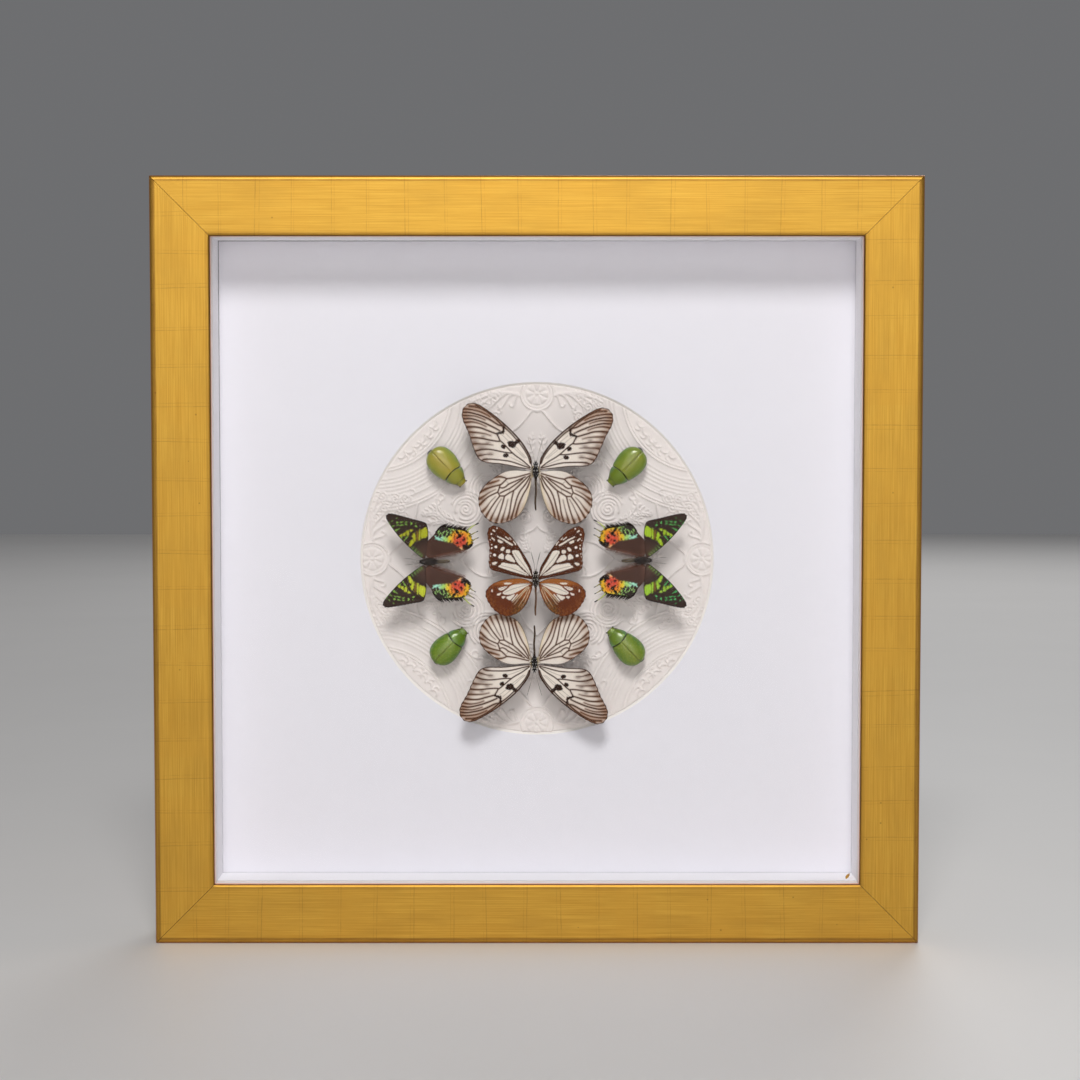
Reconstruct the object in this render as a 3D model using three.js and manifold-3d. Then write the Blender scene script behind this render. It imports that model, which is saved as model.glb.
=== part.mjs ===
// A framed insect display: a deep gilded frame with a glass front, a white mat with a round
// bevelled window, an embossed panel behind it, and nine pinned specimens in a symmetrical layout.
// Millimetres, +Z up. The front looks along -Y. The origin is at the middle of the underside.
import * as THREE from "three";
import { mergeVertices } from "three/addons/utils/BufferGeometryUtils.js";
import Module from "manifold-3d";

const wasm = await Module();
wasm.setup();

// Driving dimensions of the frame
const OUTER = 588;
const RAIL_WIDTH = 46;
const RAIL_DEPTH = 58;
const EDGE_ROUND = 3.5;
const LIP_BEVEL = 1.5;
const LIP_DEPTH = 14;
const RABBET = 6;
const MITRE_GAP = 0.4;

// Driving dimensions of what the frame holds, front to back
const GLASS_THICK = 2;
const SPACER_DEPTH = 30;
const SPACER_WIDTH = 5;
const SPACER_GAP = 0.5;
const MAT_THICK = 1.6;
const PANEL_THICK = 5;
const BACKING_THICK = 3;
const WINDOW_RADIUS = 138.3;
const SHEET_SIZE = 507;

// Driving dimensions of the back
const COVER_THICK = 0.5;
const COVER_MARGIN = 4;
const BUMPER_RADIUS = 6;
const BUMPER_THICK = 4;
const BUMPER_INSET = 20;
const HANGER_LENGTH = 60;
const HANGER_HEIGHT = 12;
const HANGER_SHEET = 1.2;
const HANGER_RISE = 2;
const HANGER_FOOT = 12;
const HANGER_RAMP = 4;
const HANGER_SPACING = 300;
const HANGER_TEETH = 7;
const TOOTH_DEPTH = 2;
const NAIL_RADIUS = 0.9;
const NAIL_HEAD_RADIUS = 2.4;
const NAIL_HEAD_THICK = 0.8;
const NAIL_LENGTH = 14;

// Driving dimensions of the pins and the wings
const PIN_RADIUS = 0.4;
const PIN_IN_PANEL = 4;
const HOLE_PLAY = 0.1;
const WING_THICK = 0.7;
const WING_POINTS = 26;
const FOREWING_LIFT = 1.6;
const HINDWING_LIFT = 0.6;

// Places that follow from the driving dimensions
const HALF = OUTER / 2;
const SIGHT_HALF = HALF - RAIL_WIDTH;
const TOTAL_DEPTH = RAIL_DEPTH + COVER_THICK + BUMPER_THICK;
const FRONT = -TOTAL_DEPTH / 2;
const GLASS_FRONT = LIP_DEPTH;
const SPACER_FRONT = GLASS_FRONT + GLASS_THICK;
const MAT_FRONT = SPACER_FRONT + SPACER_DEPTH;
const PANEL_FRONT = MAT_FRONT + MAT_THICK;
const BACKING_FRONT = PANEL_FRONT + PANEL_THICK;
const COVER_BACK = RAIL_DEPTH + COVER_THICK;

const material = (color, roughness, metalness = 0) =>
  new THREE.MeshStandardMaterial({ color, roughness, metalness });
const GOLD_LEAF = material(0xd0a040, 0.4, 0.6);
const CLEAR_GLASS = material(0xe8f0f0, 0.05);
CLEAR_GLASS.transparent = true;
CLEAR_GLASS.opacity = 0.15;
const WHITE_BOARD = material(0xf0eff4, 0.9);
const EMBOSSED_PAPER = material(0xeae6e2, 0.9);
const BROWN_BOARD = material(0x9a7650, 0.9);
const KRAFT_PAPER = material(0xb08a5c, 0.9);
const STEEL = material(0x9a9a98, 0.35, 0.9);
const RUBBER = material(0x303030, 0.9);

const display = new THREE.Group();

// Adds one named piece to a group.
function add(name, geometry, surface, group = display) {
  const mesh = new THREE.Mesh(geometry, surface);
  mesh.name = name;
  group.add(mesh);
  return mesh;
}

// A closed geometry as a solid that can be joined and cut.
function solid(geometry) {
  const bare = geometry.clone();
  bare.deleteAttribute("normal");
  bare.deleteAttribute("uv");
  const merged = mergeVertices(bare, 1e-4);
  return new wasm.Manifold(
    new wasm.Mesh({
      numProp: 3,
      vertProperties: new Float32Array(merged.attributes.position.array),
      triVerts: new Uint32Array(merged.index.array),
    }),
  );
}

// A solid as a geometry again.
function shell(made) {
  const mesh = made.getMesh();
  const geometry = new THREE.BufferGeometry();
  geometry.setAttribute("position", new THREE.BufferAttribute(new Float32Array(mesh.vertProperties), 3));
  geometry.setIndex(new THREE.BufferAttribute(new Uint32Array(mesh.triVerts), 1));
  return geometry;
}

// Moves every vertex of a geometry by a function of its place.
function reshape(geometry, place) {
  const points = geometry.attributes.position;
  const p = new THREE.Vector3();
  for (let i = 0; i < points.count; i++) {
    p.fromBufferAttribute(points, i);
    place(p);
    points.setXYZ(i, p.x, p.y, p.z);
  }
  return geometry;
}

// A round bar along Y between two depths behind the front, centred at x, z.
function bar(radius, x, z, from, to, sides = 6) {
  const geometry = new THREE.CylinderGeometry(radius, radius, to - from, sides);
  return geometry.translate(x, FRONT + (from + to) / 2, z);
}

// A flat board between two depths, centred at x, z.
function board(width, height, x, z, from, to) {
  const geometry = new THREE.BoxGeometry(width, to - from, height);
  return geometry.translate(x, FRONT + (from + to) / 2, z);
}

// The moulding's section: u runs in from the outside edge, d back from the front face.
function railSection() {
  const section = new THREE.Shape();
  section.moveTo(0, RAIL_DEPTH);
  section.lineTo(0, EDGE_ROUND);
  section.absarc(EDGE_ROUND, EDGE_ROUND, EDGE_ROUND, Math.PI, 1.5 * Math.PI, false);
  section.lineTo(RAIL_WIDTH - LIP_BEVEL, 0);
  section.lineTo(RAIL_WIDTH, LIP_BEVEL);
  section.lineTo(RAIL_WIDTH, LIP_DEPTH);
  section.lineTo(RAIL_WIDTH - RABBET, LIP_DEPTH);
  section.lineTo(RAIL_WIDTH - RABBET, RAIL_DEPTH);
  return section;
}

// One rail of the frame as the top rail, about the frame's middle, with mitred ends.
function rail() {
  const length = new THREE.ExtrudeGeometry(railSection(), { depth: 1, bevelEnabled: false, curveSegments: 4 });
  return reshape(length, (p) => {
    const across = HALF - p.x;
    const end = p.z < 0.5 ? -1 : 1;
    p.set(end * (across - MITRE_GAP / 2), FRONT + p.y, across);
  });
}

// The nail places of the two hangers, on the back of the top rail.
const HANGER_Z = OUTER - RAIL_WIDTH / 2;
const NAIL_OFFSET = HANGER_LENGTH / 2 - HANGER_FOOT / 2;
const HANGERS = { left: -HANGER_SPACING / 2, right: HANGER_SPACING / 2 };
const nailPlaces = (hangerX) => ({ outer: hangerX - NAIL_OFFSET, inner: hangerX + NAIL_OFFSET });

// The pilot holes for every nail, as one cutter.
function nailHoles(from, to) {
  const holes = Object.values(HANGERS).flatMap((x) => Object.values(nailPlaces(x)));
  const bars = holes.map((x) => solid(bar(NAIL_RADIUS + HOLE_PLAY, x, HANGER_Z, from, to)));
  return bars.reduce((all, one) => all.add(one));
}

function makeFrame() {
  const turns = { top: 0, right: 1, bottom: 2, left: 3 };
  for (const [side, turn] of Object.entries(turns)) {
    const one = rail();
    one.rotateY((turn * Math.PI) / 2).translate(0, 0, HALF);
    const nailed = side === "top";
    const holes = nailHoles(RAIL_DEPTH - NAIL_LENGTH, RAIL_DEPTH + 1);
    add(`frame_rail_${side}`, nailed ? shell(solid(one).subtract(holes)) : one, GOLD_LEAF);
  }
}

function makeSpacers() {
  const back = MAT_FRONT - SPACER_GAP;
  const middle = SIGHT_HALF + SPACER_WIDTH / 2;
  const long = 2 * (SIGHT_HALF + SPACER_WIDTH);
  const short = 2 * SIGHT_HALF;
  const sides = {
    top: [long, SPACER_WIDTH, 0, middle],
    bottom: [long, SPACER_WIDTH, 0, -middle],
    left: [SPACER_WIDTH, short, -middle, 0],
    right: [SPACER_WIDTH, short, middle, 0],
  };
  for (const [side, [width, height, x, z]] of Object.entries(sides)) {
    add(`spacer_${side}`, board(width, height, x, HALF + z, SPACER_FRONT, back), WHITE_BOARD);
  }
}

// The mat's window is cut at 45 degrees, so it narrows towards the panel.
function makeMat() {
  const sheet = new THREE.Shape();
  const half = SHEET_SIZE / 2;
  sheet.moveTo(-half, -half).lineTo(half, -half).lineTo(half, half).lineTo(-half, half);
  sheet.holes.push(new THREE.Path().absarc(0, 0, WINDOW_RADIUS, 0, 2 * Math.PI, true));
  const cut = new THREE.ExtrudeGeometry(sheet, { depth: 1, bevelEnabled: false, curveSegments: 40 });
  const bevelled = reshape(cut, (p) => {
    const front = p.z > 0.5;
    const onWindow = Math.hypot(p.x, p.y) < half * 0.9;
    const narrow = onWindow && !front ? 1 - MAT_THICK / WINDOW_RADIUS : 1;
    p.set(p.x * narrow, FRONT + (front ? MAT_FRONT : PANEL_FRONT), HALF + p.y * narrow);
  });
  add("mat", bevelled, WHITE_BOARD);
}

// A strip hanger: two flat feet for nails and a raised middle with teeth along its lower edge.
function hanger(x) {
  const foot = HANGER_LENGTH / 2 - HANGER_FOOT;
  const flat = foot - HANGER_RAMP;
  const strip = new THREE.Shape();
  strip.moveTo(-HANGER_LENGTH / 2, 0).lineTo(-foot, 0).lineTo(-flat, HANGER_RISE);
  strip.lineTo(flat, HANGER_RISE).lineTo(foot, 0).lineTo(HANGER_LENGTH / 2, 0);
  strip.lineTo(HANGER_LENGTH / 2, HANGER_SHEET).lineTo(foot, HANGER_SHEET);
  strip.lineTo(flat, HANGER_RISE + HANGER_SHEET).lineTo(-flat, HANGER_RISE + HANGER_SHEET);
  strip.lineTo(-foot, HANGER_SHEET).lineTo(-HANGER_LENGTH / 2, HANGER_SHEET);
  const bent = new THREE.ExtrudeGeometry(strip, { depth: HANGER_HEIGHT, bevelEnabled: false });
  bent.translate(x, FRONT + COVER_BACK, HANGER_Z - HANGER_HEIGHT / 2);

  const pitch = (2 * flat) / HANGER_TEETH;
  const teeth = new THREE.Shape();
  teeth.moveTo(-flat, -1);
  for (let i = 0; i < HANGER_TEETH; i++) {
    teeth.lineTo(-flat + i * pitch, 0).lineTo(-flat + (i + 0.5) * pitch, TOOTH_DEPTH);
  }
  teeth.lineTo(flat, 0).lineTo(flat, -1);
  const cutter = new THREE.ExtrudeGeometry(teeth, { depth: 20, bevelEnabled: false });
  cutter.rotateX(Math.PI / 2).translate(x, FRONT + COVER_BACK + 10, HANGER_Z - HANGER_HEIGHT / 2);

  const holes = nailHoles(RAIL_DEPTH, COVER_BACK + 10);
  return shell(solid(bent).subtract(solid(cutter)).subtract(holes));
}

// A nail with a flat round head that holds a hanger's foot.
function nail(x) {
  const headFrom = COVER_BACK + HANGER_SHEET;
  const shank = bar(NAIL_RADIUS, x, HANGER_Z, headFrom - NAIL_LENGTH, headFrom + NAIL_HEAD_THICK / 2);
  const head = bar(NAIL_HEAD_RADIUS, x, HANGER_Z, headFrom, headFrom + NAIL_HEAD_THICK, 12);
  return shell(solid(shank).add(solid(head)));
}

function makeBack() {
  const coverSize = OUTER - 2 * COVER_MARGIN;
  const cover = board(coverSize, coverSize, 0, HALF, RAIL_DEPTH, COVER_BACK);
  const coverHoles = nailHoles(RAIL_DEPTH - 1, COVER_BACK + 1);
  add("dust_cover", shell(solid(cover).subtract(coverHoles)), KRAFT_PAPER);
  for (const [side, x] of Object.entries(HANGERS)) {
    add(`hanger_${side}`, hanger(x), STEEL);
    for (const [end, nailX] of Object.entries(nailPlaces(x))) {
      add(`hanger_nail_${side}_${end}`, nail(nailX), STEEL);
    }
    const bumperX = Math.sign(x) * (HALF - BUMPER_INSET);
    const back = COVER_BACK + BUMPER_THICK;
    add(`bumper_${side}`, bar(BUMPER_RADIUS, bumperX, BUMPER_INSET, COVER_BACK, back, 16), RUBBER);
  }
}

// The specimens. A specimen's own frame has x to its right, y towards its head and z up from
// its back, with the origin in the middle of its thorax. Wing outlines are of the right side.
const TREE_NYMPH = {
  forewing: [
    [2.9, 5.2], [4.2, 12], [12.1, 24.5], [26.7, 39.1], [42.2, 50.5], [50.4, 52.6], [56, 48.5], [56.8, 41],
    [52.4, 30.2], [48.3, 17.9], [44.2, 9.6], [38, 6.4], [25.9, 5.1], [9.6, 1.9], [3.2, 1.2],
  ],
  hindwing: [
    [3, -0.6], [10, 0.4], [17, 0.7], [23.5, -0.4], [30, -3.7], [38.5, -9.8], [43.6, -17], [44.3, -25],
    [41.8, -32.6], [36, -38.8], [29, -40.9], [20, -39], [13, -34.7], [8.3, -27], [4.9, -17], [3, -7],
  ],
  rise: 7,
  droop: 4,
  // Body half width by distance towards the head, from the tip of the abdomen to the face
  body: [[-30.5, 0], [-29.8, 0.6], [-22, 0.8], [-10, 0.8], [-5.5, 1.1], [-4.2, 1.8], [-1.5, 2.6],
    [1.5, 2.5], [3.4, 1.7], [4.2, 1.3], [5.2, 1.6], [6.4, 1.3], [7, 0]],
  depthRatio: 1.5,
  antenna: [[0.6, 6.4], [2.4, 14], [6, 26.5]],
  club: 0.35,
  bodyColor: 0x3a332c,
  wingColor: 0xe6dfd6,
};

const TIGER = {
  forewing: [
    [2.4, 2], [3.4, 9.2], [7.4, 16.9], [12.9, 25.6], [18.9, 33.7], [26, 39.9], [33, 42.2], [36.6, 39.5],
    [37.4, 34.5], [36, 27], [36, 20], [36.4, 13], [34.5, 8.2], [27, 5.7], [16.1, 3], [3.6, 0.4],
  ],
  hindwing: [
    [2.9, -2], [10.7, 1], [20, 0.8], [29.2, -1.1], [35.5, -4.6], [39, -10], [37.6, -16], [33, -22.8],
    [26.5, -27.4], [20, -28.2], [13, -25.3], [7.4, -19], [4, -11], [2.7, -6],
  ],
  rise: 5,
  droop: 3,
  body: [[-27.7, 0], [-27.2, 0.6], [-20, 0.75], [-9, 0.75], [-5.5, 1.1], [-4, 1.7], [-1.5, 2.3],
    [1.5, 2.3], [3.2, 1.6], [4, 1.3], [5, 1.5], [6.2, 1.1], [6.8, 0]],
  depthRatio: 1.5,
  antenna: [[0.5, 6], [1.2, 12], [3.6, 21.5]],
  club: 0.5,
  bodyColor: 0x33291f,
  wingColor: 0x7a4a28,
};

const SUNSET_MOTH = {
  forewing: [
    [2.9, 5.7], [10.9, 15.2], [20.1, 23.9], [30.4, 31.5], [35.6, 33.6], [37.9, 30.5], [36.4, 22.8],
    [33.7, 13], [30.9, 3.8], [28, 1.4], [20.7, 0.6], [12.5, 1.7], [5, 2.6], [3, 3.2],
  ],
  hindwing: [
    [3.1, 0.8], [9.2, 0.5], [15.2, -0.8], [21.2, -5.2], [26.4, -7.3], [28.2, -11.5], [26.6, -18.5],
    [25.4, -26.6], [23, -31.4], [18.5, -33.4], [13.4, -34.2], [9.4, -29.6], [7.1, -20.1], [5.2, -10.3],
    [3.2, -3],
  ],
  // Tails of the hindwing, each from its root to its tip
  tails: [[[24, -29.4], [30.2, -38.3]], [[20.5, -31.6], [23.9, -38]], [[15.5, -32.5], [18.8, -38.2]]],
  tailRadius: 0.6,
  rise: 5,
  droop: 3,
  body: [[-16, 0], [-15.4, 0.7], [-11, 1.2], [-6, 1.2], [-4.4, 1.9], [-1.5, 2.7], [2, 2.7], [4.4, 2],
    [5.2, 1.5], [6.2, 1.6], [7.2, 1.1], [7.7, 0]],
  depthRatio: 1.3,
  antenna: [[0.6, 7], [1.8, 12], [2.6, 19]],
  club: 0.3,
  bodyColor: 0x2c2522,
  wingColor: 0x3a2b24,
};

// Where each butterfly and moth is: the thorax's place from the window's middle, its lift off
// the panel, the turn of its head from straight up, and how far each wing is set forward.
const SPREAD_WINGS = [
  {
    name: "tree_nymph_upper", species: TREE_NYMPH, at: [-1, 69.5], lift: 20, turn: 0, size: 1,
    spread: { forewing_left: 0, forewing_right: -4.5, hindwing_left: 0, hindwing_right: -1 },
  },
  {
    name: "tiger_middle", species: TIGER, at: [-1, -14.5], lift: 24, turn: 0, size: 1,
    spread: { forewing_left: 0, forewing_right: -1, hindwing_left: 0, hindwing_right: 0 },
  },
  {
    name: "tree_nymph_lower", species: TREE_NYMPH, at: [-2, -80], lift: 18, turn: 180, size: 0.96,
    spread: { forewing_left: -4, forewing_right: -6, hindwing_left: 1, hindwing_right: 1 },
  },
  {
    name: "sunset_moth_left", species: SUNSET_MOTH, at: [-83.5, -1], lift: 18, turn: 90, size: 1,
    spread: { forewing_left: 5, forewing_right: 0, hindwing_left: 7, hindwing_right: 0 },
  },
  {
    name: "sunset_moth_right", species: SUNSET_MOTH, at: [81.5, 0], lift: 18, turn: -90, size: 1,
    spread: { forewing_left: 2, forewing_right: 2, hindwing_left: 2, hindwing_right: 3 },
  },
];

// A group that carries one specimen, facing out of the frame.
function specimenGroup(at, lift, turn) {
  const group = new THREE.Group();
  group.position.set(at[0], FRONT + PANEL_FRONT - lift, HALF + at[1]);
  group.rotation.set(Math.PI / 2, 0, THREE.MathUtils.degToRad(turn));
  display.add(group);
  return group;
}

// How far the wing's surface stands above its root: it rises from the body and droops at the tip.
function wingHeight(species, reach) {
  const span = 55;
  const share = Math.abs(reach) / span;
  return species.rise * share - species.droop * share * share;
}

// A thin wing: a flattened ball drawn out to the outline, with its surface arched.
function wing(species, kind, side, degrees, size) {
  const points = species[kind].map(([x, y]) => new THREE.Vector3(x, y, 0));
  const outline = new THREE.CatmullRomCurve3(points, true, "catmullrom", 0.5);
  const loop = outline.getSpacedPoints(WING_POINTS).slice(0, WING_POINTS);
  const middle = loop.reduce((sum, p) => sum.add(p), new THREE.Vector3()).divideScalar(WING_POINTS);
  const clockwise = THREE.ShapeUtils.area(loop) < 0;
  const lift = kind === "forewing" ? FOREWING_LIFT : HINDWING_LIFT;
  const hinge = new THREE.Vector3(...species[kind][0], 0);
  const turn = THREE.MathUtils.degToRad(degrees);
  const around = new THREE.Vector3(0, 0, 1);

  const ball = new THREE.SphereGeometry(1, WING_POINTS, 4).rotateX(Math.PI / 2);
  const made = reshape(ball, (p) => {
    const angle = Math.atan2(p.y, p.x) / (2 * Math.PI);
    const forward = clockwise === (side > 0) ? -angle : angle;
    const step = Math.round((forward + 1) * WING_POINTS) % WING_POINTS;
    const share = Math.min(1, Math.hypot(p.x, p.y));
    const level = p.z;
    p.lerpVectors(middle, loop[step], share).sub(hinge).applyAxisAngle(around, turn).add(hinge);
    p.set(side * p.x, p.y, lift + wingHeight(species, p.x) + (level * WING_THICK) / 2);
  });
  const tails = kind === "hindwing" && species.tails ? species.tails : [];
  const whole = tails.reduce((all, [root, tip]) => {
    const ends = [root, tip].map(([x, y]) => {
      const p = new THREE.Vector3(x, y, 0).sub(hinge).applyAxisAngle(around, turn).add(hinge);
      return p.set(side * p.x, p.y, lift + wingHeight(species, p.x));
    });
    const path = new THREE.LineCurve3(...ends);
    const section = new THREE.Shape().absarc(0, 0, species.tailRadius, 0, 2 * Math.PI);
    const tail = new THREE.ExtrudeGeometry(section, { steps: 1, curveSegments: 2, extrudePath: path });
    return all.add(solid(tail));
  }, solid(made));
  return shell(whole.scale([size, size, size]));
}

// A body turned about its long axis, deeper than wide, with two antennae and a pin hole below.
function insectBody(species, size) {
  const profile = species.body.map(([y, half]) => new THREE.Vector2(half, y));
  const trunk = new THREE.LatheGeometry(profile, 8);
  trunk.scale(1, 1, species.depthRatio);
  let whole = solid(trunk);
  for (const side of [-1, 1]) {
    const route = species.antenna.map(([x, y]) => new THREE.Vector3(side * x, y, 0.8));
    const path = new THREE.CatmullRomCurve3(route);
    const thread = new THREE.Shape().absarc(0, 0, species.club * 0.7, 0, 2 * Math.PI);
    const antenna = new THREE.ExtrudeGeometry(thread, { steps: 4, curveSegments: 2, extrudePath: path });
    const club = new THREE.SphereGeometry(species.club * 1.8, 5, 3);
    club.translate(route[2].x, route[2].y, route[2].z);
    whole = whole.add(solid(antenna)).add(solid(club));
  }
  const hole = new THREE.CylinderGeometry(PIN_RADIUS + HOLE_PLAY, PIN_RADIUS + HOLE_PLAY, 20, 6);
  hole.rotateX(Math.PI / 2).translate(0, 0, -10);
  return shell(whole.scale([size, size, size]).subtract(solid(hole)));
}

// A pin from inside the body straight back into the panel.
function addPin(name, at, lift) {
  const from = PANEL_FRONT - lift + HOLE_PLAY;
  const to = PANEL_FRONT + PIN_IN_PANEL;
  add(`${name}_pin`, bar(PIN_RADIUS, at[0], HALF + at[1], from, to), STEEL);
}

function makeSpreadWings() {
  for (const { name, species, at, lift, turn, size, spread } of SPREAD_WINGS) {
    const group = specimenGroup(at, lift, turn);
    add(`${name}_body`, insectBody(species, size), material(species.bodyColor, 0.8), group);
    for (const [which, degrees] of Object.entries(spread)) {
      const [kind, hand] = which.split("_");
      const made = wing(species, kind, hand === "left" ? -1 : 1, degrees, size);
      add(`${name}_${which}`, made, material(species.wingColor, 0.7), group);
    }
    addPin(name, at, lift);
  }
}

// A beetle: wing cases, fore body and head run into each other, with six folded legs.
const BEETLE = {
  lift: 8,
  // Each part: middle and half length along the body, half width, height above and below the middle
  parts: {
    wing_cases: { middle: -5.2, half: 13.6, width: 12, above: 8.2, below: 5.2, taper: 0.16, rings: 7, sides: 12 },
    fore_body: { middle: 8.4, half: 6, width: 8.9, above: 6, below: 4.6, taper: -0.42, rings: 5, sides: 10 },
    head: { middle: 14.4, half: 4, width: 4.2, above: 3, below: 3.2, taper: -0.25, rings: 4, sides: 8 },
  },
  // Each leg: where it leaves the belly, its knee and its foot, on the right side
  legs: [
    [[4, 9], [9, 11.4], [7.6, 14.6]],
    [[6, 1], [10.8, -0.6], [9.6, -5]],
    [[5, -6], [9, -10], [6.8, -15]],
  ],
  legRadius: 0.7,
  legHeights: [-2, -3.4, -7.2],
  color: 0x6f9a3a,
};
const BEETLES = [
  { name: "beetle_upper_left", at: [-70, 72], turn: -136, size: 1.02 },
  { name: "beetle_upper_right", at: [69.5, 72], turn: 135.5, size: 1.01 },
  { name: "beetle_lower_left", at: [-68.5, -67.5], turn: -45, size: 0.97 },
  { name: "beetle_lower_right", at: [69, -67.5], turn: 44.5, size: 0.99 },
];

// A domed lump of the beetle: a ball drawn out along the body, narrower towards one end.
function lump({ middle, half, width, above, below, taper, rings, sides }) {
  const ball = new THREE.SphereGeometry(1, sides, rings);
  return solid(
    reshape(ball, (p) => {
      const narrow = 1 - taper * p.y * (p.y > 0 === taper > 0 ? 1 : 0.3);
      const tall = p.z > 0 ? above : below;
      p.set(p.x * width * narrow, middle + p.y * half, p.z * tall * narrow);
    }),
  );
}

// One leg as a bent tube from the belly to the panel.
function beetleLeg(points, side) {
  const route = points.map(([x, y], i) => new THREE.Vector3(side * x, y, BEETLE.legHeights[i]));
  const path = new THREE.CatmullRomCurve3(route);
  const section = new THREE.Shape().absarc(0, 0, BEETLE.legRadius, 0, 2 * Math.PI);
  return solid(new THREE.ExtrudeGeometry(section, { steps: 2, curveSegments: 2, extrudePath: path }));
}

function beetleBody(size) {
  const lumps = Object.values(BEETLE.parts).map(lump);
  const legs = BEETLE.legs.flatMap((points) => [beetleLeg(points, -1), beetleLeg(points, 1)]);
  const whole = [...lumps, ...legs].reduce((all, one) => all.add(one));
  const hole = new THREE.CylinderGeometry(PIN_RADIUS + HOLE_PLAY, PIN_RADIUS + HOLE_PLAY, 20, 6);
  hole.rotateX(Math.PI / 2).translate(0, 0, -10);
  return shell(whole.scale([size, size, size]).subtract(solid(hole)));
}

function makeBeetles() {
  for (const { name, at, turn, size } of BEETLES) {
    const lift = BEETLE.lift * 1.04;
    const group = specimenGroup(at, lift, turn);
    add(`${name}_body`, beetleBody(size), material(BEETLE.color, 0.35), group);
    addPin(name, at, lift);
  }
}

// The panel behind the window, with a hole for each pin.
function makePanel() {
  const plain = board(SHEET_SIZE, SHEET_SIZE, 0, HALF, PANEL_FRONT, BACKING_FRONT);
  const holes = [...SPREAD_WINGS, ...BEETLES].map(({ at }) => {
    const to = PANEL_FRONT + PIN_IN_PANEL + HOLE_PLAY;
    return solid(bar(PIN_RADIUS + HOLE_PLAY, at[0], HALF + at[1], PANEL_FRONT - 1, to));
  });
  const drilled = holes.reduce((all, one) => all.subtract(one), solid(plain));
  add("embossed_panel", shell(drilled), EMBOSSED_PAPER);
}

makeFrame();
add("glass", board(SHEET_SIZE, SHEET_SIZE, 0, HALF, GLASS_FRONT, SPACER_FRONT), CLEAR_GLASS);
makeSpacers();
makeMat();
makePanel();
const backingBack = BACKING_FRONT + BACKING_THICK;
add("backing_board", board(SHEET_SIZE, SHEET_SIZE, 0, HALF, BACKING_FRONT, backingBack), BROWN_BOARD);
makeBack();
makeSpreadWings();
makeBeetles();

export default display;
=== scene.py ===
"""A framed insect display: gilded rails, mat, embossed paper and nine pinned specimens.

Points are worked out in millimetres in the part's own frame and stored in metres.
"""

import math

import bpy
import numpy as np
from mathutils.geometry import delaunay_2d_cdt
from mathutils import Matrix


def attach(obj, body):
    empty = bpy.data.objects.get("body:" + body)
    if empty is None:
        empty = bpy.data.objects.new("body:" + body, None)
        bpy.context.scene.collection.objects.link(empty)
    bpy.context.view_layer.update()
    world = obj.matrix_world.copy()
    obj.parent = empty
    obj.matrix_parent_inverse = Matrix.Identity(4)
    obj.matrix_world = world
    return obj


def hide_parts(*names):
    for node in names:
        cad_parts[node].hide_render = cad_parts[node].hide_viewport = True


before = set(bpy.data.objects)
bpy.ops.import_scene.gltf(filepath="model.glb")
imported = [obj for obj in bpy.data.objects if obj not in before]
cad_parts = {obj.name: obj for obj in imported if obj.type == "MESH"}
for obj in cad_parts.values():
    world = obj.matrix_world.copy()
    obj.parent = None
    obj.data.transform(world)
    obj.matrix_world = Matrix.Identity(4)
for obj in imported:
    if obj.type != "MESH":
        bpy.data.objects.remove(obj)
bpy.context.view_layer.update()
MM = 0.001

# Dimensions shared with the solids
OUTER = 588.0
RAIL_WIDTH = 46.0
RAIL_DEPTH = 58.0
EDGE_ROUND = 3.5
LIP_BEVEL = 1.5
LIP_DEPTH = 14.0
RABBET = 6.0
MITRE_GAP = 0.4
MAT_FRONT = 46.0
MAT_THICK = 1.6
SHEET_SIZE = 507.0
WINDOW_RADIUS = 138.3
COVER_THICK = 0.5
BUMPER_THICK = 4.0
WING_REACH = 55.0
BEETLE_LIFT = 8.32
HALF = OUTER / 2
FRONT = -(RAIL_DEPTH + COVER_THICK + BUMPER_THICK) / 2
PANEL_FRONT = MAT_FRONT + MAT_THICK

# Places across a rail, measured round its moulding from the back of the outside
OUTER_EDGE = RAIL_DEPTH - EDGE_ROUND
SIGHT_EDGE = OUTER_EDGE + EDGE_ROUND * math.pi / 2 + RAIL_WIDTH - EDGE_ROUND - LIP_BEVEL
FACE_MIDDLE = 80.0

# Fineness of the surfaces: counts, and millimetres and slope for the paper's points
RAIL_STATIONS = 148
MAT_SIDES = 240
PAPER_RIM_POINTS = 960
PAPER_PITCH = 0.62
PAPER_STEEP = 0.13

# Looks: leaf, paper and wings
LEAF_PITCH = 28.5
LEAF_TINT = (0.6, 0.4, 0.1)
RELIEF_SCALE = 1.3
PAPER_GROUND = 0.12
BAND_CENTER = (126, 128)
MEDALLION_AT = 129.2
WING_HALF_THICK = 0.1
FOREWING_BASE = 1.6
HINDWING_BASE = 0.6

# Camera, fitted to the photograph's view of the frame's edges
CAMERA_AT = (2.34, FRONT - 1734.6, 406.6)
CAMERA_TILT = 3.139
FOCAL_SHARE = 2277.3 / 1080
SENSOR_WIDTH = 36

# Studio, in metres
FLOOR_SIZE = 12
SKY_COLOR = (0.86, 0.87, 0.9, 1)
SKY_STRENGTH = 0.18


# Colour

def rgb(code):
    """A hex colour as linear red, green and blue."""
    value = np.array([int(code[i:i + 2], 16) for i in (0, 2, 4)]) / 255
    return np.where(value <= 0.04045, value / 12.92, ((value + 0.055) / 1.055) ** 2.4)


def plain(points, code):
    """The same hex colour for every point."""
    return np.tile(rgb(code), (len(points), 1))


def paint(colors, mask, color):
    """Lays a colour, or a hex code of one, over others by a mask from 0 to 1, and gives them back."""
    if isinstance(color, str):
        color = rgb(color)
    colors += np.clip(mask, 0, 1)[:, None] * (color - colors)
    return colors


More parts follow.
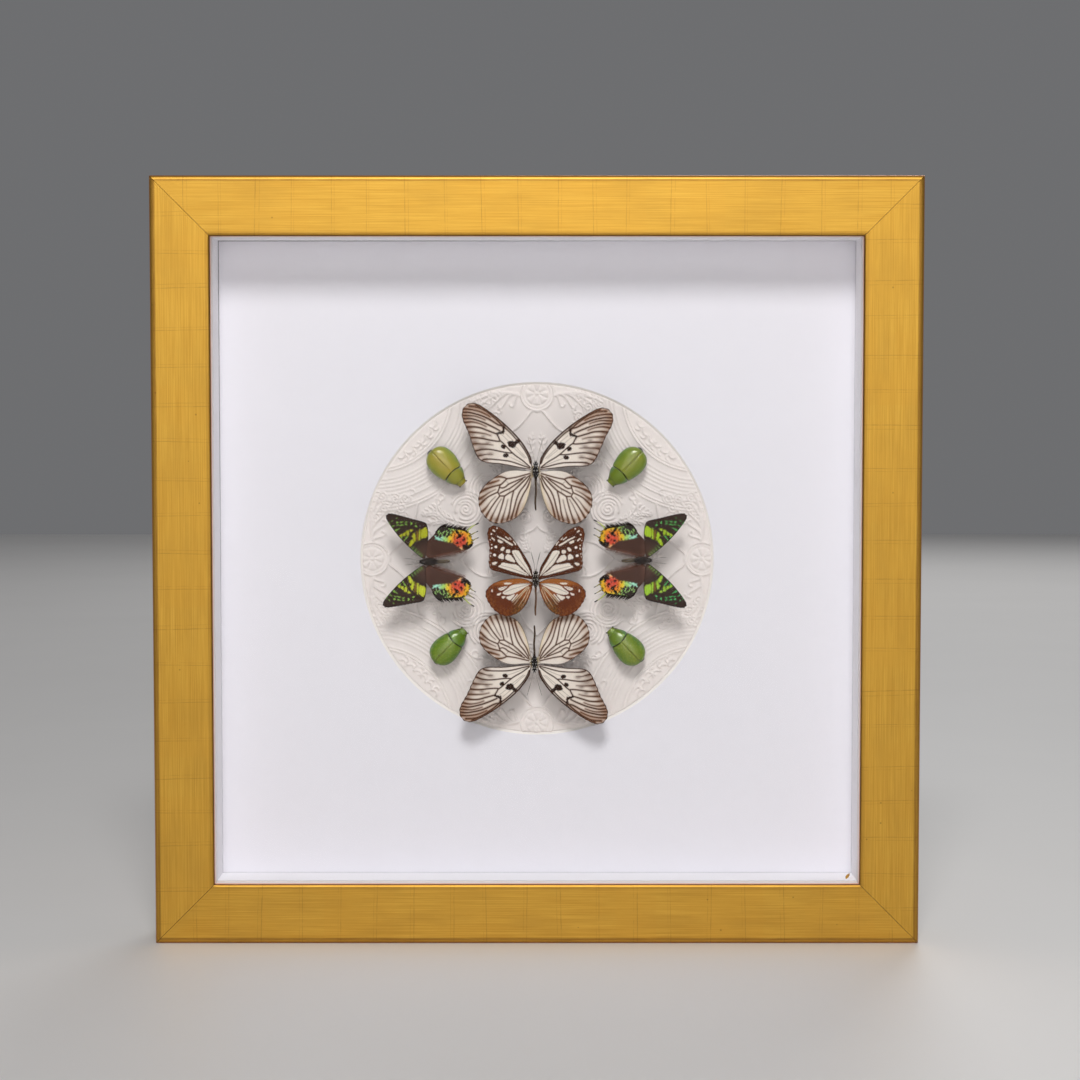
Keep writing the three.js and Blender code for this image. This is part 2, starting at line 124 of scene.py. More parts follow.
def smooth(low, high, value):
    """0 below low, 1 above high and a soft step between."""
    t = np.clip((value - low) / (high - low), 0, 1)
    return t * t * (3 - 2 * t)


# Lines and points in the plane

def points_from(*axes):
    """Points from their coordinates, given axis by axis; single numbers go to every point."""
    return np.stack(np.broadcast_arrays(*axes), -1)


def turns(count):
    """Angles at even steps round a full turn."""
    return np.linspace(0, 2 * math.pi, count, endpoint=False)


def circle_points(count):
    """Points round a circle of radius 1."""
    angle = turns(count)
    return points_from(np.cos(angle), np.sin(angle))


def spline(points, closed=False, per=8):
    """A smooth line through points."""
    points = np.asarray(points, float)
    if closed:
        full = np.vstack([points[-1:], points, points[:2]])
    else:
        full = np.vstack([2 * points[:1] - points[1:2], points, 2 * points[-1:] - points[-2:-1]])
    t = np.linspace(0, 1, per, endpoint=False)[:, None]
    out = []
    for p0, p1, p2, p3 in zip(full, full[1:], full[2:], full[3:]):
        curve = 2 * p1 + (p2 - p0) * t + (2 * p0 - 5 * p1 + 4 * p2 - p3) * t**2
        out.append(0.5 * (curve + (3 * p1 - p0 - 3 * p2 + p3) * t**3))
    if not closed:
        out.append(points[-1:])
    return np.vstack(out)


def even(path, spacing, closed=False):
    """The same line with points at an even spacing."""
    if closed:
        path = np.vstack([path, path[:1]])
    length = np.concatenate([[0], np.cumsum(np.linalg.norm(np.diff(path, axis=0), axis=1))])
    count = max(3, int(round(length[-1] / spacing)))
    at = np.linspace(0, length[-1], count + 1)
    if closed:
        at = at[:-1]
    return np.stack([np.interp(at, length, path[:, i]) for i in range(path.shape[1])], 1)


def near_path(points, path, reach=None):
    """Each point's distance to a line, and how far along the line its nearest place is."""
    path = np.asarray(path, float)
    best = np.full(len(points), 1e6)
    share = np.zeros(len(points))
    chosen = np.arange(len(points))
    if reach is not None:
        inside = np.all((points > path.min(0) - reach) & (points < path.max(0) + reach), axis=1)
        chosen = np.nonzero(inside)[0]
    some = points[chosen]
    step = np.diff(path, axis=0)
    length = np.maximum(np.linalg.norm(step, axis=1), 1e-9)
    start = np.concatenate([[0], np.cumsum(length)])
    gap = np.full(len(some), 1e6)
    along = np.zeros(len(some))
    for a, d, size, s in zip(path, step, length, start):
        t = np.clip(((some - a) @ d) / size**2, 0, 1)
        new = np.hypot(some[:, 0] - a[0] - t * d[0], some[:, 1] - a[1] - t * d[1])
        closer = new < gap
        gap[closer] = new[closer]
        along[closer] = s + t[closer] * size
    best[chosen] = gap
    share[chosen] = along / start[-1]
    return best, share


def inside_loop(points, loop):
    """Whether each point is inside a closed line."""
    odd = np.zeros(len(points), bool)
    for (ax, ay), (bx, by) in zip(loop, np.roll(loop, -1, axis=0)):
        crosses = (ay > points[:, 1]) != (by > points[:, 1])
        if ay != by:
            at = ax + (points[:, 1] - ay) * (bx - ax) / (by - ay)
            odd ^= crosses & (points[:, 0] < at)
    return odd


def in_patch(points, corners, soft=0.35):
    """A mask of a rounded patch with a soft edge."""
    loop = spline(corners, closed=True, per=5)
    gap, _ = near_path(points, np.vstack([loop, loop[:1]]), reach=1.0)
    signed = np.where(inside_loop(points, loop), gap, -gap)
    return smooth(-soft, soft, signed)


def on_line(points, line, root, tip, soft):
    """A mask of a line that changes from one half width to another along its length."""
    gap, share = near_path(points, spline(line, per=6), reach=4.0)
    half = root + (tip - root) * share
    return smooth(-soft, soft, half - gap)


def on_dot(points, x, y, radius):
    """A mask of a round dot."""
    gap = np.hypot(points[:, 0] - x, points[:, 1] - y)
    return smooth(radius + 0.25, radius - 0.25, gap)


def rim_gap(points, outline):
    """Each point's distance to a smooth outline, and how far round it the nearest place is."""
    loop = spline(outline, closed=True, per=6)
    return near_path(points, np.vstack([loop, loop[:1]]))


# Meshes: each is points, triangles and a colour for each point

def skin(rings, color):
    """A closed skin over a row of rings, with a middle point at each end."""
    rings = np.asarray(rings, float)
    rows, sides = rings.shape[:2]
    first = rings[0].mean(0)
    last = rings[-1].mean(0)
    verts = np.vstack([rings.reshape(-1, 3), first, last])
    row, side = np.meshgrid(np.arange(rows - 1), np.arange(sides), indexing="ij")
    a = (row * sides + side).ravel()
    b = (row * sides + (side + 1) % sides).ravel()
    faces = [np.stack([a, b, b + sides], 1), np.stack([a, b + sides, a + sides], 1)]
    around = np.arange(sides)
    after = (around + 1) % sides
    end = (rows - 1) * sides
    faces.append(np.stack([np.full(sides, rows * sides), after, around], 1))
    faces.append(np.stack([np.full(sides, rows * sides + 1), end + around, end + after], 1))
    return verts, np.vstack(faces), np.tile(np.asarray(color, float), (len(verts), 1))


def tube(path, radii, color, sides):
    """A tapered round tube along a line."""
    path = np.asarray(path, float)
    radii = np.interp(np.linspace(0, 1, len(path)), np.linspace(0, 1, len(radii)), radii)
    ahead = np.gradient(path, axis=0)
    ahead /= np.linalg.norm(ahead, axis=1)[:, None]
    lean = np.array([0.0, 0.0, 1.0]) if abs(ahead[:, 2]).max() < 0.9 else np.array([0.0, 1.0, 0.0])
    across = np.cross(ahead, lean)
    across /= np.linalg.norm(across, axis=1)[:, None]
    up = np.cross(across, ahead)
    angle = turns(sides)
    ring = across[:, None] * np.cos(angle)[None, :, None] + up[:, None] * np.sin(angle)[None, :, None]
    return skin(path[:, None] - ring * radii[:, None, None], color)


def ball(center, size, color, rows=10, sides=14):
    """A rounded lump."""
    polar = np.linspace(0.08, math.pi - 0.08, rows)
    polar = polar[:, None]
    angle = turns(sides)
    ring = points_from(np.sin(polar) * np.cos(angle), np.sin(polar) * np.sin(angle), -np.cos(polar))
    return skin(np.asarray(center) + ring * np.asarray(size), color)


def join(parts):
    """Several meshes as one."""
    offset = 0
    faces = []
    for verts, tris, _ in parts:
        faces.append(tris + offset)
        offset += len(verts)
    return np.vstack([p[0] for p in parts]), np.vstack(faces), np.vstack([p[2] for p in parts])


def add_piece(name, made, surface, replaced=(), values=None):
    """Adds a mesh as a piece of the part that stands for some of its solids."""
    verts, tris, colors = made
    mesh = bpy.data.meshes.new(name)
    mesh.vertices.add(len(verts))
    mesh.vertices.foreach_set("co", (np.asarray(verts) * MM).ravel())
    mesh.loops.add(len(tris) * 3)
    mesh.loops.foreach_set("vertex_index", np.asarray(tris, np.int32).ravel())
    mesh.polygons.add(len(tris))
    mesh.polygons.foreach_set("loop_start", np.arange(0, len(tris) * 3, 3, dtype=np.int32))
    mesh.polygons.foreach_set("use_smooth", np.ones(len(tris), bool))
    mesh.update(calc_edges=True)
    tint = mesh.color_attributes.new("tint", "FLOAT_COLOR", "POINT")
    tint.data.foreach_set("color", np.hstack([colors, np.ones((len(verts), 1))]).ravel())
    for key, value in (values or {}).items():
        extra = mesh.attributes.new(key, "FLOAT", "POINT")
        extra.data.foreach_set("value", np.asarray(value, np.float32))
    mesh.materials.append(surface)
    piece = bpy.data.objects.new(name, mesh)
    bpy.context.scene.collection.objects.link(piece)
    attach(piece, "root")
    if replaced:
        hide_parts(*replaced)
    return piece


def sharpen(piece, degrees):
    """Keeps edges that turn by more than an angle crisp."""
    piece.data.set_sharp_from_angle(angle=math.radians(degrees))


# Materials

class Surface:
    """A material under construction: small helpers around its nodes."""

    def __init__(self, name, **values):
        self.material = bpy.data.materials.new(name)
        self.material.use_nodes = True
        self.tree = self.material.node_tree
        self.shader = self.tree.nodes["Principled BSDF"]
        for key, value in values.items():
            self.set(key.replace("_", " "), value)

    def set(self, socket, value):
        """Feeds one of the main shader's sockets."""
        self.feed(self.shader, socket, value)

    def feed(self, node, socket, value):
        """Links a socket, or sets it to a number, a vector or a colour's hex code."""
        target = node.inputs[socket]
        if isinstance(value, bpy.types.NodeSocket):
            self.tree.links.new(value, target)
        elif isinstance(value, str):
            target.default_value = (*rgb(value), 1.0)
        else:
            target.default_value = value

    def make(self, kind, inputs=None, **options):
        node = self.tree.nodes.new(kind)
        for key, value in options.items():
            setattr(node, key, value)
        for socket, value in (inputs or {}).items():
            self.feed(node, socket, value)
        return node

    def place(self):
        return self.make("ShaderNodeTexCoord").outputs["Object"]

    def attribute(self, name, output="Color"):
        return self.make("ShaderNodeAttribute", attribute_name=name).outputs[output]

    def math(self, operation, a, b=0.0):
        return self.make("ShaderNodeMath", {0: a, 1: b}, operation=operation).outputs[0]

    def times(self, a, b):
        return self.math("MULTIPLY", a, b)

    def plus(self, a, b):
        return self.math("ADD", a, b)

    def minus(self, a, b):
        return self.math("SUBTRACT", a, b)

    def vector(self, x, y, z):
        return self.make("ShaderNodeCombineXYZ", {0: x, 1: y, 2: z}).outputs[0]

    def stretch(self, vector, scale):
        return self.make("ShaderNodeMapping", {"Vector": vector, "Scale": scale}).outputs[0]

    def noise(self, vector, scale, detail=3.0, rough=0.5):
        inputs = {"Vector": vector, "Scale": scale, "Detail": detail, "Roughness": rough}
        return self.make("ShaderNodeTexNoise", inputs).outputs["Fac"]

    def cells(self, vector, scale):
        return self.make("ShaderNodeTexVoronoi", {"Vector": vector, "Scale": scale}).outputs["Distance"]

    def step(self, value, low, high):
        inputs = {"Value": value, "From Min": low, "From Max": high}
        return self.make("ShaderNodeMapRange", inputs, interpolation_type="SMOOTHSTEP").outputs[0]

    def between(self, value, low, high):
        inputs = {"Value": value, "To Min": low, "To Max": high}
        return self.make("ShaderNodeMapRange", inputs).outputs[0]

    def mix(self, share, a, b, blend="MIX"):
        inputs = {0: share, 6: a, 7: b}
        return self.make("ShaderNodeMix", inputs, data_type="RGBA", blend_type=blend).outputs[2]

    def bump(self, height, strength, distance):
        """Fine relief; its greatest height is given in metres."""
        inputs = {"Height": height, "Strength": strength, "Distance": distance}
        self.set("Normal", self.make("ShaderNodeBump", inputs).outputs[0])


def gold_leaf():
    """Leaf laid in overlapping squares, brushed along the rail, with red clay showing at the edges and
    painted shade on the lip's bevel.
    """
    s = Surface("gold_leaf", Coat_Weight=0.12, Coat_Roughness=0.4)
    along = s.attribute("along", "Fac")
    across = s.attribute("across", "Fac")
    flat = s.vector(along, across, 0.0)

    def band(start, end, soft):
        """A mask of a strip along the rail."""
        rising = s.step(across, start - soft, start + soft)
        return s.times(rising, s.step(across, end + soft, end - soft))

    def line(share, at, half):
        """A mask of a thin line across the rail."""
        return s.step(s.math("ABSOLUTE", s.minus(share, at)), 1.6 * half, 0.5 * half)

    def chance(number):
        """A fixed random value for a number."""
        return s.make("ShaderNodeTexWhiteNoise", {"W": number}, noise_dimensions="1D").outputs["Value"]

    # Every leaf has its own width, slant and tone, and two lap lines
    drift = s.minus(s.noise(s.vector(along, 0.0, 0.0), 0.021, 1.0), 0.5)
    wobble = s.minus(s.noise(s.stretch(flat, (0.05, 0.07, 1)), 1.0, 2.0), 0.5)
    place = s.plus(along, s.times(drift, 22.0))
    place = s.plus(place, s.times(wobble, 0.7))
    slant = s.minus(chance(s.math("FLOOR", s.math("DIVIDE", place, LEAF_PITCH))), 0.5)
    tilt = s.times(slant, s.times(s.minus(across, FACE_MIDDLE), 0.05))
    leaf = s.math("DIVIDE", s.plus(place, tilt), LEAF_PITCH)
    share = s.math("FRACT", leaf)
    tone = chance(s.plus(s.math("FLOOR", leaf), 40.5))
    broken = s.step(s.noise(s.stretch(flat, (0.2, 0.12, 1)), 1.0, 2.0), 0.3, 0.6)
    lap = s.times(line(share, 0.5, 0.009), s.between(broken, 0.25, 1.0))
    second = s.times(line(share, 0.585, 0.008), broken)

    streak = s.noise(s.stretch(flat, (0.014, 1.3, 1)), 1.0, 5.0, 0.7)
    cloud = s.noise(s.stretch(flat, (0.02, 0.05, 1)), 1.0, 3.0)
    grain = s.noise(s.stretch(flat, (0.05, 0.5, 1)), 1.0, 4.0, 0.7)
    speck = s.step(s.cells(s.stretch(flat, (0.05, 0.05, 1)), 1.0), 0.045, 0.03)
    edge = s.times(band(OUTER_EDGE - 1, OUTER_EDGE + 6.0, 0.6), s.between(grain, 0.0, 0.45))
    lip = band(SIGHT_EDGE + 2.1, SIGHT_EDGE + 16, 0.2)
    layers = [
        (s.between(tone, 0.0, 0.3), "CC9838"),
        (s.times(s.step(cloud, 0.4, 0.75), 0.3), "AC8232"),
        (s.times(lap, 0.34), "7C5522"),
        (s.times(second, 0.2), "80581F"),
        # Rubbed clay on the rounded outside, a dark line, painted shade on the bevel, a rosy lip and bare
        # ground by the glass
        (edge, "8E5426"),
        (s.times(band(OUTER_EDGE - 1, OUTER_EDGE + 2.2, 0.4), 0.8), "D2865A"),
        (s.times(band(OUTER_EDGE + 5.0, OUTER_EDGE + 6.6, 0.4), s.between(grain, 0.1, 0.7)), "5E3C14"),
        (s.times(band(SIGHT_EDGE - 2.0, SIGHT_EDGE + 1.2, 1.0), s.between(grain, 0.1, 0.6)), "8C6020"),
        # Painted shade: the lip's bevel darkened on every rail
        (s.times(band(SIGHT_EDGE + 0.9, SIGHT_EDGE + 2.1, 0.25), 0.85), "4E2A12"),
        (s.times(lip, 0.85), "E8A27E"),
        (s.times(band(SIGHT_EDGE + 5.5, SIGHT_EDGE + 16, 0.5), 0.9), "F0E8E2"),
        (s.times(speck, 0.4), "5A3410"),
    ]
    color = s.mix(s.step(streak, 0.25, 0.75), "BA882C", "DAAC48")
    for mask, code in layers:
        color = s.mix(mask, color, code)
    s.set("Base Color", color)
    s.set("Metallic", s.between(lip, 0.92, 0.1))
    s.set("Roughness", s.plus(s.between(streak, 0.34, 0.5), s.times(edge, 0.2)))
    height = s.plus(s.times(streak, 0.5), s.times(lap, -0.3))
    s.bump(height, 0.15, 0.0003)
    return s.material


def board_surface(name, base, warm, grain=900.0, strength=0.12):
    """Matte board with soft fibres and a faint change of tone."""
    s = Surface(name, Roughness=0.9, Specular_IOR_Level=0.25)
    place = s.place()
    cloud = s.noise(place, 14.0, 3.0)
    fibre = s.noise(s.stretch(place, (1, 1, 0.35)), grain, 3.0, 0.6)
    color = s.mix(cloud, base, warm)
    s.set("Base Color", s.mix(s.times(fibre, 0.3), color, warm))
    s.bump(fibre, strength, 0.0003)
    return s.material


def tinted(name, rough, grain, strength, depth, vary=0.2, **values):
    """A surface that takes its main colour from the piece, with a fine grain of its own."""
    s = Surface(name, **values)
    place = s.place()
    fine = s.noise(place, grain, 3.0, 0.6)
    soft = s.noise(place, grain * 0.12, 3.0)
    blend = s.plus(s.times(fine, 0.6), s.times(soft, 0.4))
    shade = s.between(blend, 1 - vary, 1 + vary)
    color = s.mix(1.0, s.attribute("tint"), s.vector(shade, shade, shade), "MULTIPLY")
    s.set("Base Color", color)
    s.set("Roughness", s.between(fine, rough - 0.12, rough + 0.12))
    s.bump(fine, strength, depth)
    return s.material


def kraft_paper():
    """Brown wrapping paper with flecks, fibres and slight cockling."""
    s = Surface("kraft_paper", Roughness=0.85)
    place = s.place()
    cloud = s.noise(place, 9.0, 3.0)
    fibre = s.noise(s.stretch(place, (260, 1, 1400)), 1.0, 3.0, 0.65)
    fleck = s.step(s.noise(place, 420.0, 2.0), 0.62, 0.72)
    color = s.mix(cloud, "A67C4E", "BE9666")
    color = s.mix(s.times(fibre, 0.3), color, "8C6439")
    s.set("Base Color", s.mix(s.times(fleck, 0.45), color, "6E4B28"))
    cockle = s.noise(s.stretch(place, (1, 1, 2.2)), 11.0, 2.0)
    s.bump(s.plus(s.times(cockle, 3.0), fibre), 0.35, 0.0008)
    return s.material


def steel():
    """Stamped steel with fine drawn lines and a little tarnish."""
    s = Surface("steel", Metallic=1.0)
    place = s.place()
    drawn = s.noise(s.stretch(place, (1, 1, 40)), 140.0, 4.0, 0.7)
    tarnish = s.noise(place, 160.0, 3.0)
    s.set("Base Color", s.mix(s.step(tarnish, 0.5, 0.75), "B4B4B0", "86807A"))
    s.set("Roughness", s.between(drawn, 0.22, 0.5))
    s.bump(drawn, 0.2, 0.0002)
    return s.material


def rubber():
    """Dark rubber with a bloom of dust."""
    s = Surface("rubber")
    place = s.place()
    fine = s.noise(place, 1500.0, 3.0)
    dust = s.noise(place, 180.0, 3.0)
    s.set("Base Color", s.mix(s.step(dust, 0.45, 0.8), "262626", "45413C"))
    s.set("Roughness", s.between(fine, 0.65, 0.9))
    s.bump(fine, 0.3, 0.0002)
    return s.material


def clear_glass():
    """Coated picture glass that hardly reflects."""
    s = Surface("clear_glass", Roughness=0.0, IOR=1.1, Transmission_Weight=1.0)
    s.set("Base Color", "FFFFFF")
    return s.material


GOLD = gold_leaf()
WHITE_BOARD = board_surface("white_board", "FBFAFD", "F7F5F8")
EMBOSSED = board_surface("embossed_paper", "F2EAE6", "ECE3DE", 1100.0, 0.2)
BROWN_BOARD = board_surface("brown_board", "9A7650", "86643F", 500.0, 0.3)
NYMPH_WING = tinted("nymph_wing", 0.7, 1600.0, 0.12, 0.0001, Specular_IOR_Level=0.1)
TIGER_WING = tinted("tiger_wing", 0.7, 1500.0, 0.15, 0.0001, Specular_IOR_Level=0.1)
MOTH_WING = tinted("moth_wing", 0.55, 1700.0, 0.2, 0.0001, Specular_IOR_Level=0.1)
BODY = tinted("insect_body", 0.8, 1800.0, 0.5, 0.0003, Specular_IOR_Level=0.15)
POLISH = {"Specular_IOR_Level": 0.4, "Coat_Weight": 0.3, "Coat_Roughness": 0.14}
SHELL = tinted("beetle_shell", 0.32, 1400.0, 0.2, 0.00012, **POLISH)


# The frame

def rail_section():
    """Points of the moulding as distance in from the outside and back from the face."""
    turn = np.linspace(0, math.pi / 2, 7)
    outside = [(0, d) for d in np.linspace(RAIL_DEPTH, EDGE_ROUND + 2, 9)]
    edge = [(EDGE_ROUND * (1 - math.cos(a)), EDGE_ROUND * (1 - math.sin(a))) for a in turn]
    face = [(u, 0) for u in np.linspace(EDGE_ROUND + 1.2, RAIL_WIDTH - 2.6, 22)]
    inner = [(RAIL_WIDTH - LIP_BEVEL, 0), (RAIL_WIDTH - 0.45, 0.6), (RAIL_WIDTH, LIP_BEVEL)]
    lip = [(RAIL_WIDTH, d) for d in np.linspace(3, LIP_DEPTH - 0.6, 5)]
    seat = [(RAIL_WIDTH, LIP_DEPTH), (RAIL_WIDTH - RABBET, LIP_DEPTH)]
    rabbet = [(RAIL_WIDTH - RABBET, d) for d in (30, RAIL_DEPTH)]
    back = [(u, RAIL_DEPTH) for u in (26, 12)]
    return np.array(outside + edge + face + inner + lip + seat + rabbet + back)


def make_rails():
    """Four gilded rails that meet in mitres, with the places along and across them for the leaf."""
    section = rail_section()
    u, d = section.T
    ring = np.hypot(np.diff(u, append=u[0]), np.diff(d, append=d[0]))
    across = np.concatenate([[0], np.cumsum(ring)[:-1]])
    stations = np.linspace(-1, 1, RAIL_STATIONS)
    for number, side in enumerate(("top", "right", "bottom", "left")):
        turn = number * math.pi / 2
        along = stations[:, None] * (HALF - u - MITRE_GAP / 2)
        height = HALF - u
        x = along * math.cos(turn) + height * math.sin(turn)
        z = height * math.cos(turn) - along * math.sin(turn)
        made = skin(points_from(x, FRONT + d, HALF + z), LEAF_TINT)
        values = {
            "along": np.append(along.ravel(), [-HALF, HALF]) + 1000 * number,
            "across": np.append(np.tile(across, len(stations)), [0, 0]),
        }
        node = f"frame_rail_{side}"
        sharpen(add_piece(f"gilded_rail_{side}", made, GOLD, [node], values), 40)


def triangulate(points, rim):
    """Triangles between points of a plane, the first of which go round the outline."""
    edges = [(i, (i + 1) % rim) for i in range(rim)]
    out, _, tris, *_ = delaunay_2d_cdt([tuple(p) for p in points.tolist()], edges, [], 1, 1e-6)
    return np.array([tuple(p) for p in out]), np.array(tris)


def sheet_faces(tris, size, rim):
    """Triangles of a closed sheet: the given face, a wall round its rim and a fan over the back.

    The sheet's points are those of the face, rim first, then the rim of the back and its middle.
    """
    edge = np.arange(rim)
    after = np.roll(edge, -1)
    wall = [np.stack([edge, size + edge, size + after], 1), np.stack([edge, size + after, after], 1)]
    back = np.stack([np.full(rim, size + rim), size + after, size + edge], 1)
    return np.vstack([tris] + wall + [back])


def make_mat():
    """The white mat, with a round window whose cut edge shows the board's cream core."""
    count = MAT_SIDES
    circle = circle_points(count)
    square = circle / np.abs(circle).max(1, keepdims=True)
    narrow = WINDOW_RADIUS - MAT_THICK
    white = plain(circle, "EFEDF3")
    cream = plain(circle, "F6F1EC")
    # Painted shade of a gap along the spacers, widest at the upper left
    upper_left_gap_shade = smooth(1.5, 0.2, np.hypot(square[:, 0] + 1, square[:, 1] - 1))
    gap = paint(white.copy(), 0.16 + 0.6 * upper_left_gap_shade, "3A3634")
    sight = HALF - RAIL_WIDTH
    levels = [
        (square * SHEET_SIZE / 2, PANEL_FRONT, white),
        (square * SHEET_SIZE / 2, MAT_FRONT, white),
        # These two rows by the sight edge carry the painted shade of the gap
        (square * (sight + 1.2), MAT_FRONT, gap),
        (square * (sight - 0.1), MAT_FRONT, gap),
        (square * (sight - 0.8), MAT_FRONT, white),
        (circle * (WINDOW_RADIUS + 12), MAT_FRONT, white),
        (circle * (WINDOW_RADIUS + 0.15), MAT_FRONT, white),
        (circle * (WINDOW_RADIUS - 0.1), MAT_FRONT + 0.15, cream),
        (circle * (narrow + 0.05), PANEL_FRONT - 0.05, cream),
        (circle * narrow, PANEL_FRONT, cream),
    ]
    verts = np.vstack([points_from(p[:, 0], FRONT + depth, HALF + p[:, 1]) for p, depth, _ in levels])
    colors = np.vstack([c for _, _, c in levels])
    faces = []
    side = np.arange(count)
    after = (side + 1) % count
    for row in range(len(levels)):
        a = row * count
        b = (row + 1) % len(levels) * count
        faces.append(np.stack([a + side, b + side, b + after], 1))
        faces.append(np.stack([a + side, b + after, a + after], 1))
    surface = tinted("mat_board", 0.88, 900.0, 0.1, 0.0002, 0.02, Specular_IOR_Level=0.2)
    sharpen(add_piece("window_mat", (verts, np.vstack(faces), colors), surface, ["mat"]), 30)


def make_fleck():
    """A scrap of leaf that has dropped on the lower spacer."""
    route = [(240.6, 22, 45.9), (241.8, 25, 47.2), (243.2, 28, 47.6), (244.4, 30, 48.6)]
    path = spline([(x, FRONT + depth, z) for x, depth, z in route])
    made = tube(path, [0.3, 1.2, 1.1, 0.2], LEAF_TINT, 6)
    add_piece("leaf_scrap", made, GOLD)


# The embossed paper. The pattern repeats in eighths, so its lines are drawn for one of them.

def spiral(x, z, radius, turns, start, hand):
    """A scroll that winds in to its middle."""
    t = np.linspace(0, 1, int(26 * turns))
    reach = radius * (1 - t) ** 0.8 + 0.3
    angle = start + hand * t * turns * 2 * math.pi
    return points_from(x + reach * np.cos(angle), z + reach * np.sin(angle))


def arc(x, z, radius, start, end):
    """Part of a circle, between two angles in degrees."""
    angle = np.radians(np.linspace(start, end, max(7, int(radius * abs(end - start) / 60))))
    return points_from(x + radius * np.cos(angle), z + radius * np.sin(angle))


def frond(start, middle, end, leaflets, length, hand):
    """A curved stem with leaflets along both sides."""
    stem = spline([start, middle, end], per=10)
    lines = [stem]
    ahead = np.gradient(stem, axis=0)
    ahead /= np.linalg.norm(ahead, axis=1)[:, None]
    for share in np.linspace(0.1, 0.92, leaflets):
        at = stem[int(share * (len(stem) - 1))]
        way = ahead[int(share * (len(stem) - 1))]
        out = np.array([-way[1], way[0]])
        size = length * math.sin(math.pi * (0.18 + 0.75 * share))
        for side in (hand, -0.6 * hand):
            tip = at + size * (0.75 * way + side * out)
            bend = at + size * (0.25 * way + 0.75 * side * out)
            lines.append(spline([at, bend, tip], per=4))
    return lines


def plume(start, end, sag):
    """A long curved leaf of three strokes that ends in a curl."""
    start = np.array(start, float)
    end = np.array(end, float)
    middle = (start + end) / 2 + np.array([0, sag])
    strokes = [spline([start, middle + np.array([0, lift]), end], per=8) for lift in (0, 1.5)]
    return strokes + [arc(end[0] + 1.8, end[1] + 0.3, 1.8, 180, 380)]


def paper_lines():
    """Bold and fine raised lines of one eighth of the pattern."""
    bold = [spiral(55.6, 39.5, 6, 2.3, 0.6, 1), spiral(9.5, 33, 5.5, 1.8, 1.2, 1)]
    bold.append(spiral(17, 88, 6, 1.9, 0.2, -1))
    bold += [arc(55.6, 39.5, radius, start, 300) for radius, start in ((8.6, -20), (11.4, 20), (13.8, 40))]
    bold.append(spline([(66, 31), (73, 34), (78, 42), (77, 50), (70, 58)]))
    bold.append(spline([(0, 115.4), (4.3, 115.4), (10.5, 107.9), (18, 101), (30, 96), (44, 93)]))
    bold.append(spline([(0, 26), (5, 22), (17, 19), (27, 22), (38, 31)]))
    bold.append(spline([(0, 60), (8, 52), (13, 44), (14, 36)]))

    scales = [(44.8, 78.1), (48.6, 74.6), (40.6, 80.8), (52.4, 98), (47, 101)]
    fine = [arc(x, z, 2.3, 190, 380) for x, z in scales]
    scrolls = [(106, 40), (111, 47.4), (119, 40), (112, 33), (121, 49), (103, 47), (126, 33), (104, 33)]
    for i, (x, z) in enumerate(scrolls):
        fine.append(spiral(x, z, 3.6, 1.5, 1.1 * i, 1 if i % 2 else -1))
        fine.append(arc(x + 3.6, z - 3.4, 1.6, 60 * i, 60 * i + 200))
    for angle in (208, 216, 224):
        x = BAND_CENTER[0] + 53 * math.cos(math.radians(angle))
        z = BAND_CENTER[1] + 53 * math.sin(math.radians(angle))
        fine.append(arc(x, z, 2.2, 190, 370))
        fine.append(arc(x + 3.2, z + 3.2, 3.4, 150, 300))
    for x, z, sag in ((18, 120.6, 3), (26.8, 119.5, 4), (34.5, 120.5, 4), (42, 122.4, 3), (49, 124, 2)):
        fine += plume((11.5 + 0.1 * x, 126.5 + 0.06 * x), (x, z), sag)
    fine += frond((70, 28), (79, 36), (90, 35), 7, 5, 1)
    fine += frond((2, 64), (6, 78), (3, 98), 8, 5.5, -1)
    fine += frond((24, 60), (30, 72), (28, 86), 7, 5, -1)
    fine += frond((6, 6), (14, 9), (24, 10), 6, 4, 1)
    return bold, fine


def relief(x, z):
    """Height of the embossing above the paper's ground, in millimetres."""
    fold = points_from(np.abs(x), np.abs(z))

    # Concave bands with fine ribs, about a far corner
    corner = np.hypot(fold[:, 0] - BAND_CENTER[0], fold[:, 1] - BAND_CENTER[1])
    band = smooth(64, 66, corner) * (1 - smooth(80, 82, corner))
    ribs = 0.5 + 0.5 * np.cos(2 * math.pi * (corner - 66) / 3.0)
    height = 0.5 * band * ribs**2
    for radius in (57.4, 59.6, 82.5, 88, 90.4):
        height += 0.85 * np.exp(-(((corner - radius) / 0.55) ** 2))

    bold, fine = paper_lines()
    for lines, width, tall in ((bold, 0.65, 1.25), (fine, 0.55, 1.05)):
        for line in lines:
            for path in (line, line[:, ::-1]):
                gap, _ = near_path(fold, path, reach=3 * width)
                np.maximum(height, tall * np.exp(-((gap / width) ** 2)), out=height)

    # Round medallions with a rosette of eight petals
    for x0, z0 in ((0, MEDALLION_AT), (MEDALLION_AT, 0)):
        dx = fold[:, 0] - x0
        dz = fold[:, 1] - z0
        away = np.hypot(dx, dz)
        angle = np.arctan2(dz, dx)
        petal = np.abs(np.cos(4 * angle)) ** 0.7 * smooth(1.5, 4, away) * (1 - smooth(7.6, 9.4, away))
        rose = petal + 1.1 * np.exp(-((away / 1.5) ** 2))
        for radius, width, tall in ((12.8, 0.65, 1.1), (10.6, 0.5, 0.6)):
            rose += tall * np.exp(-(((away - radius) / width) ** 2))
        clear = 1 - smooth(12.8, 14.6, away)
        height = height * (1 - clear) + rose * smooth(15, 14, away)
    return RELIEF_SCALE * height


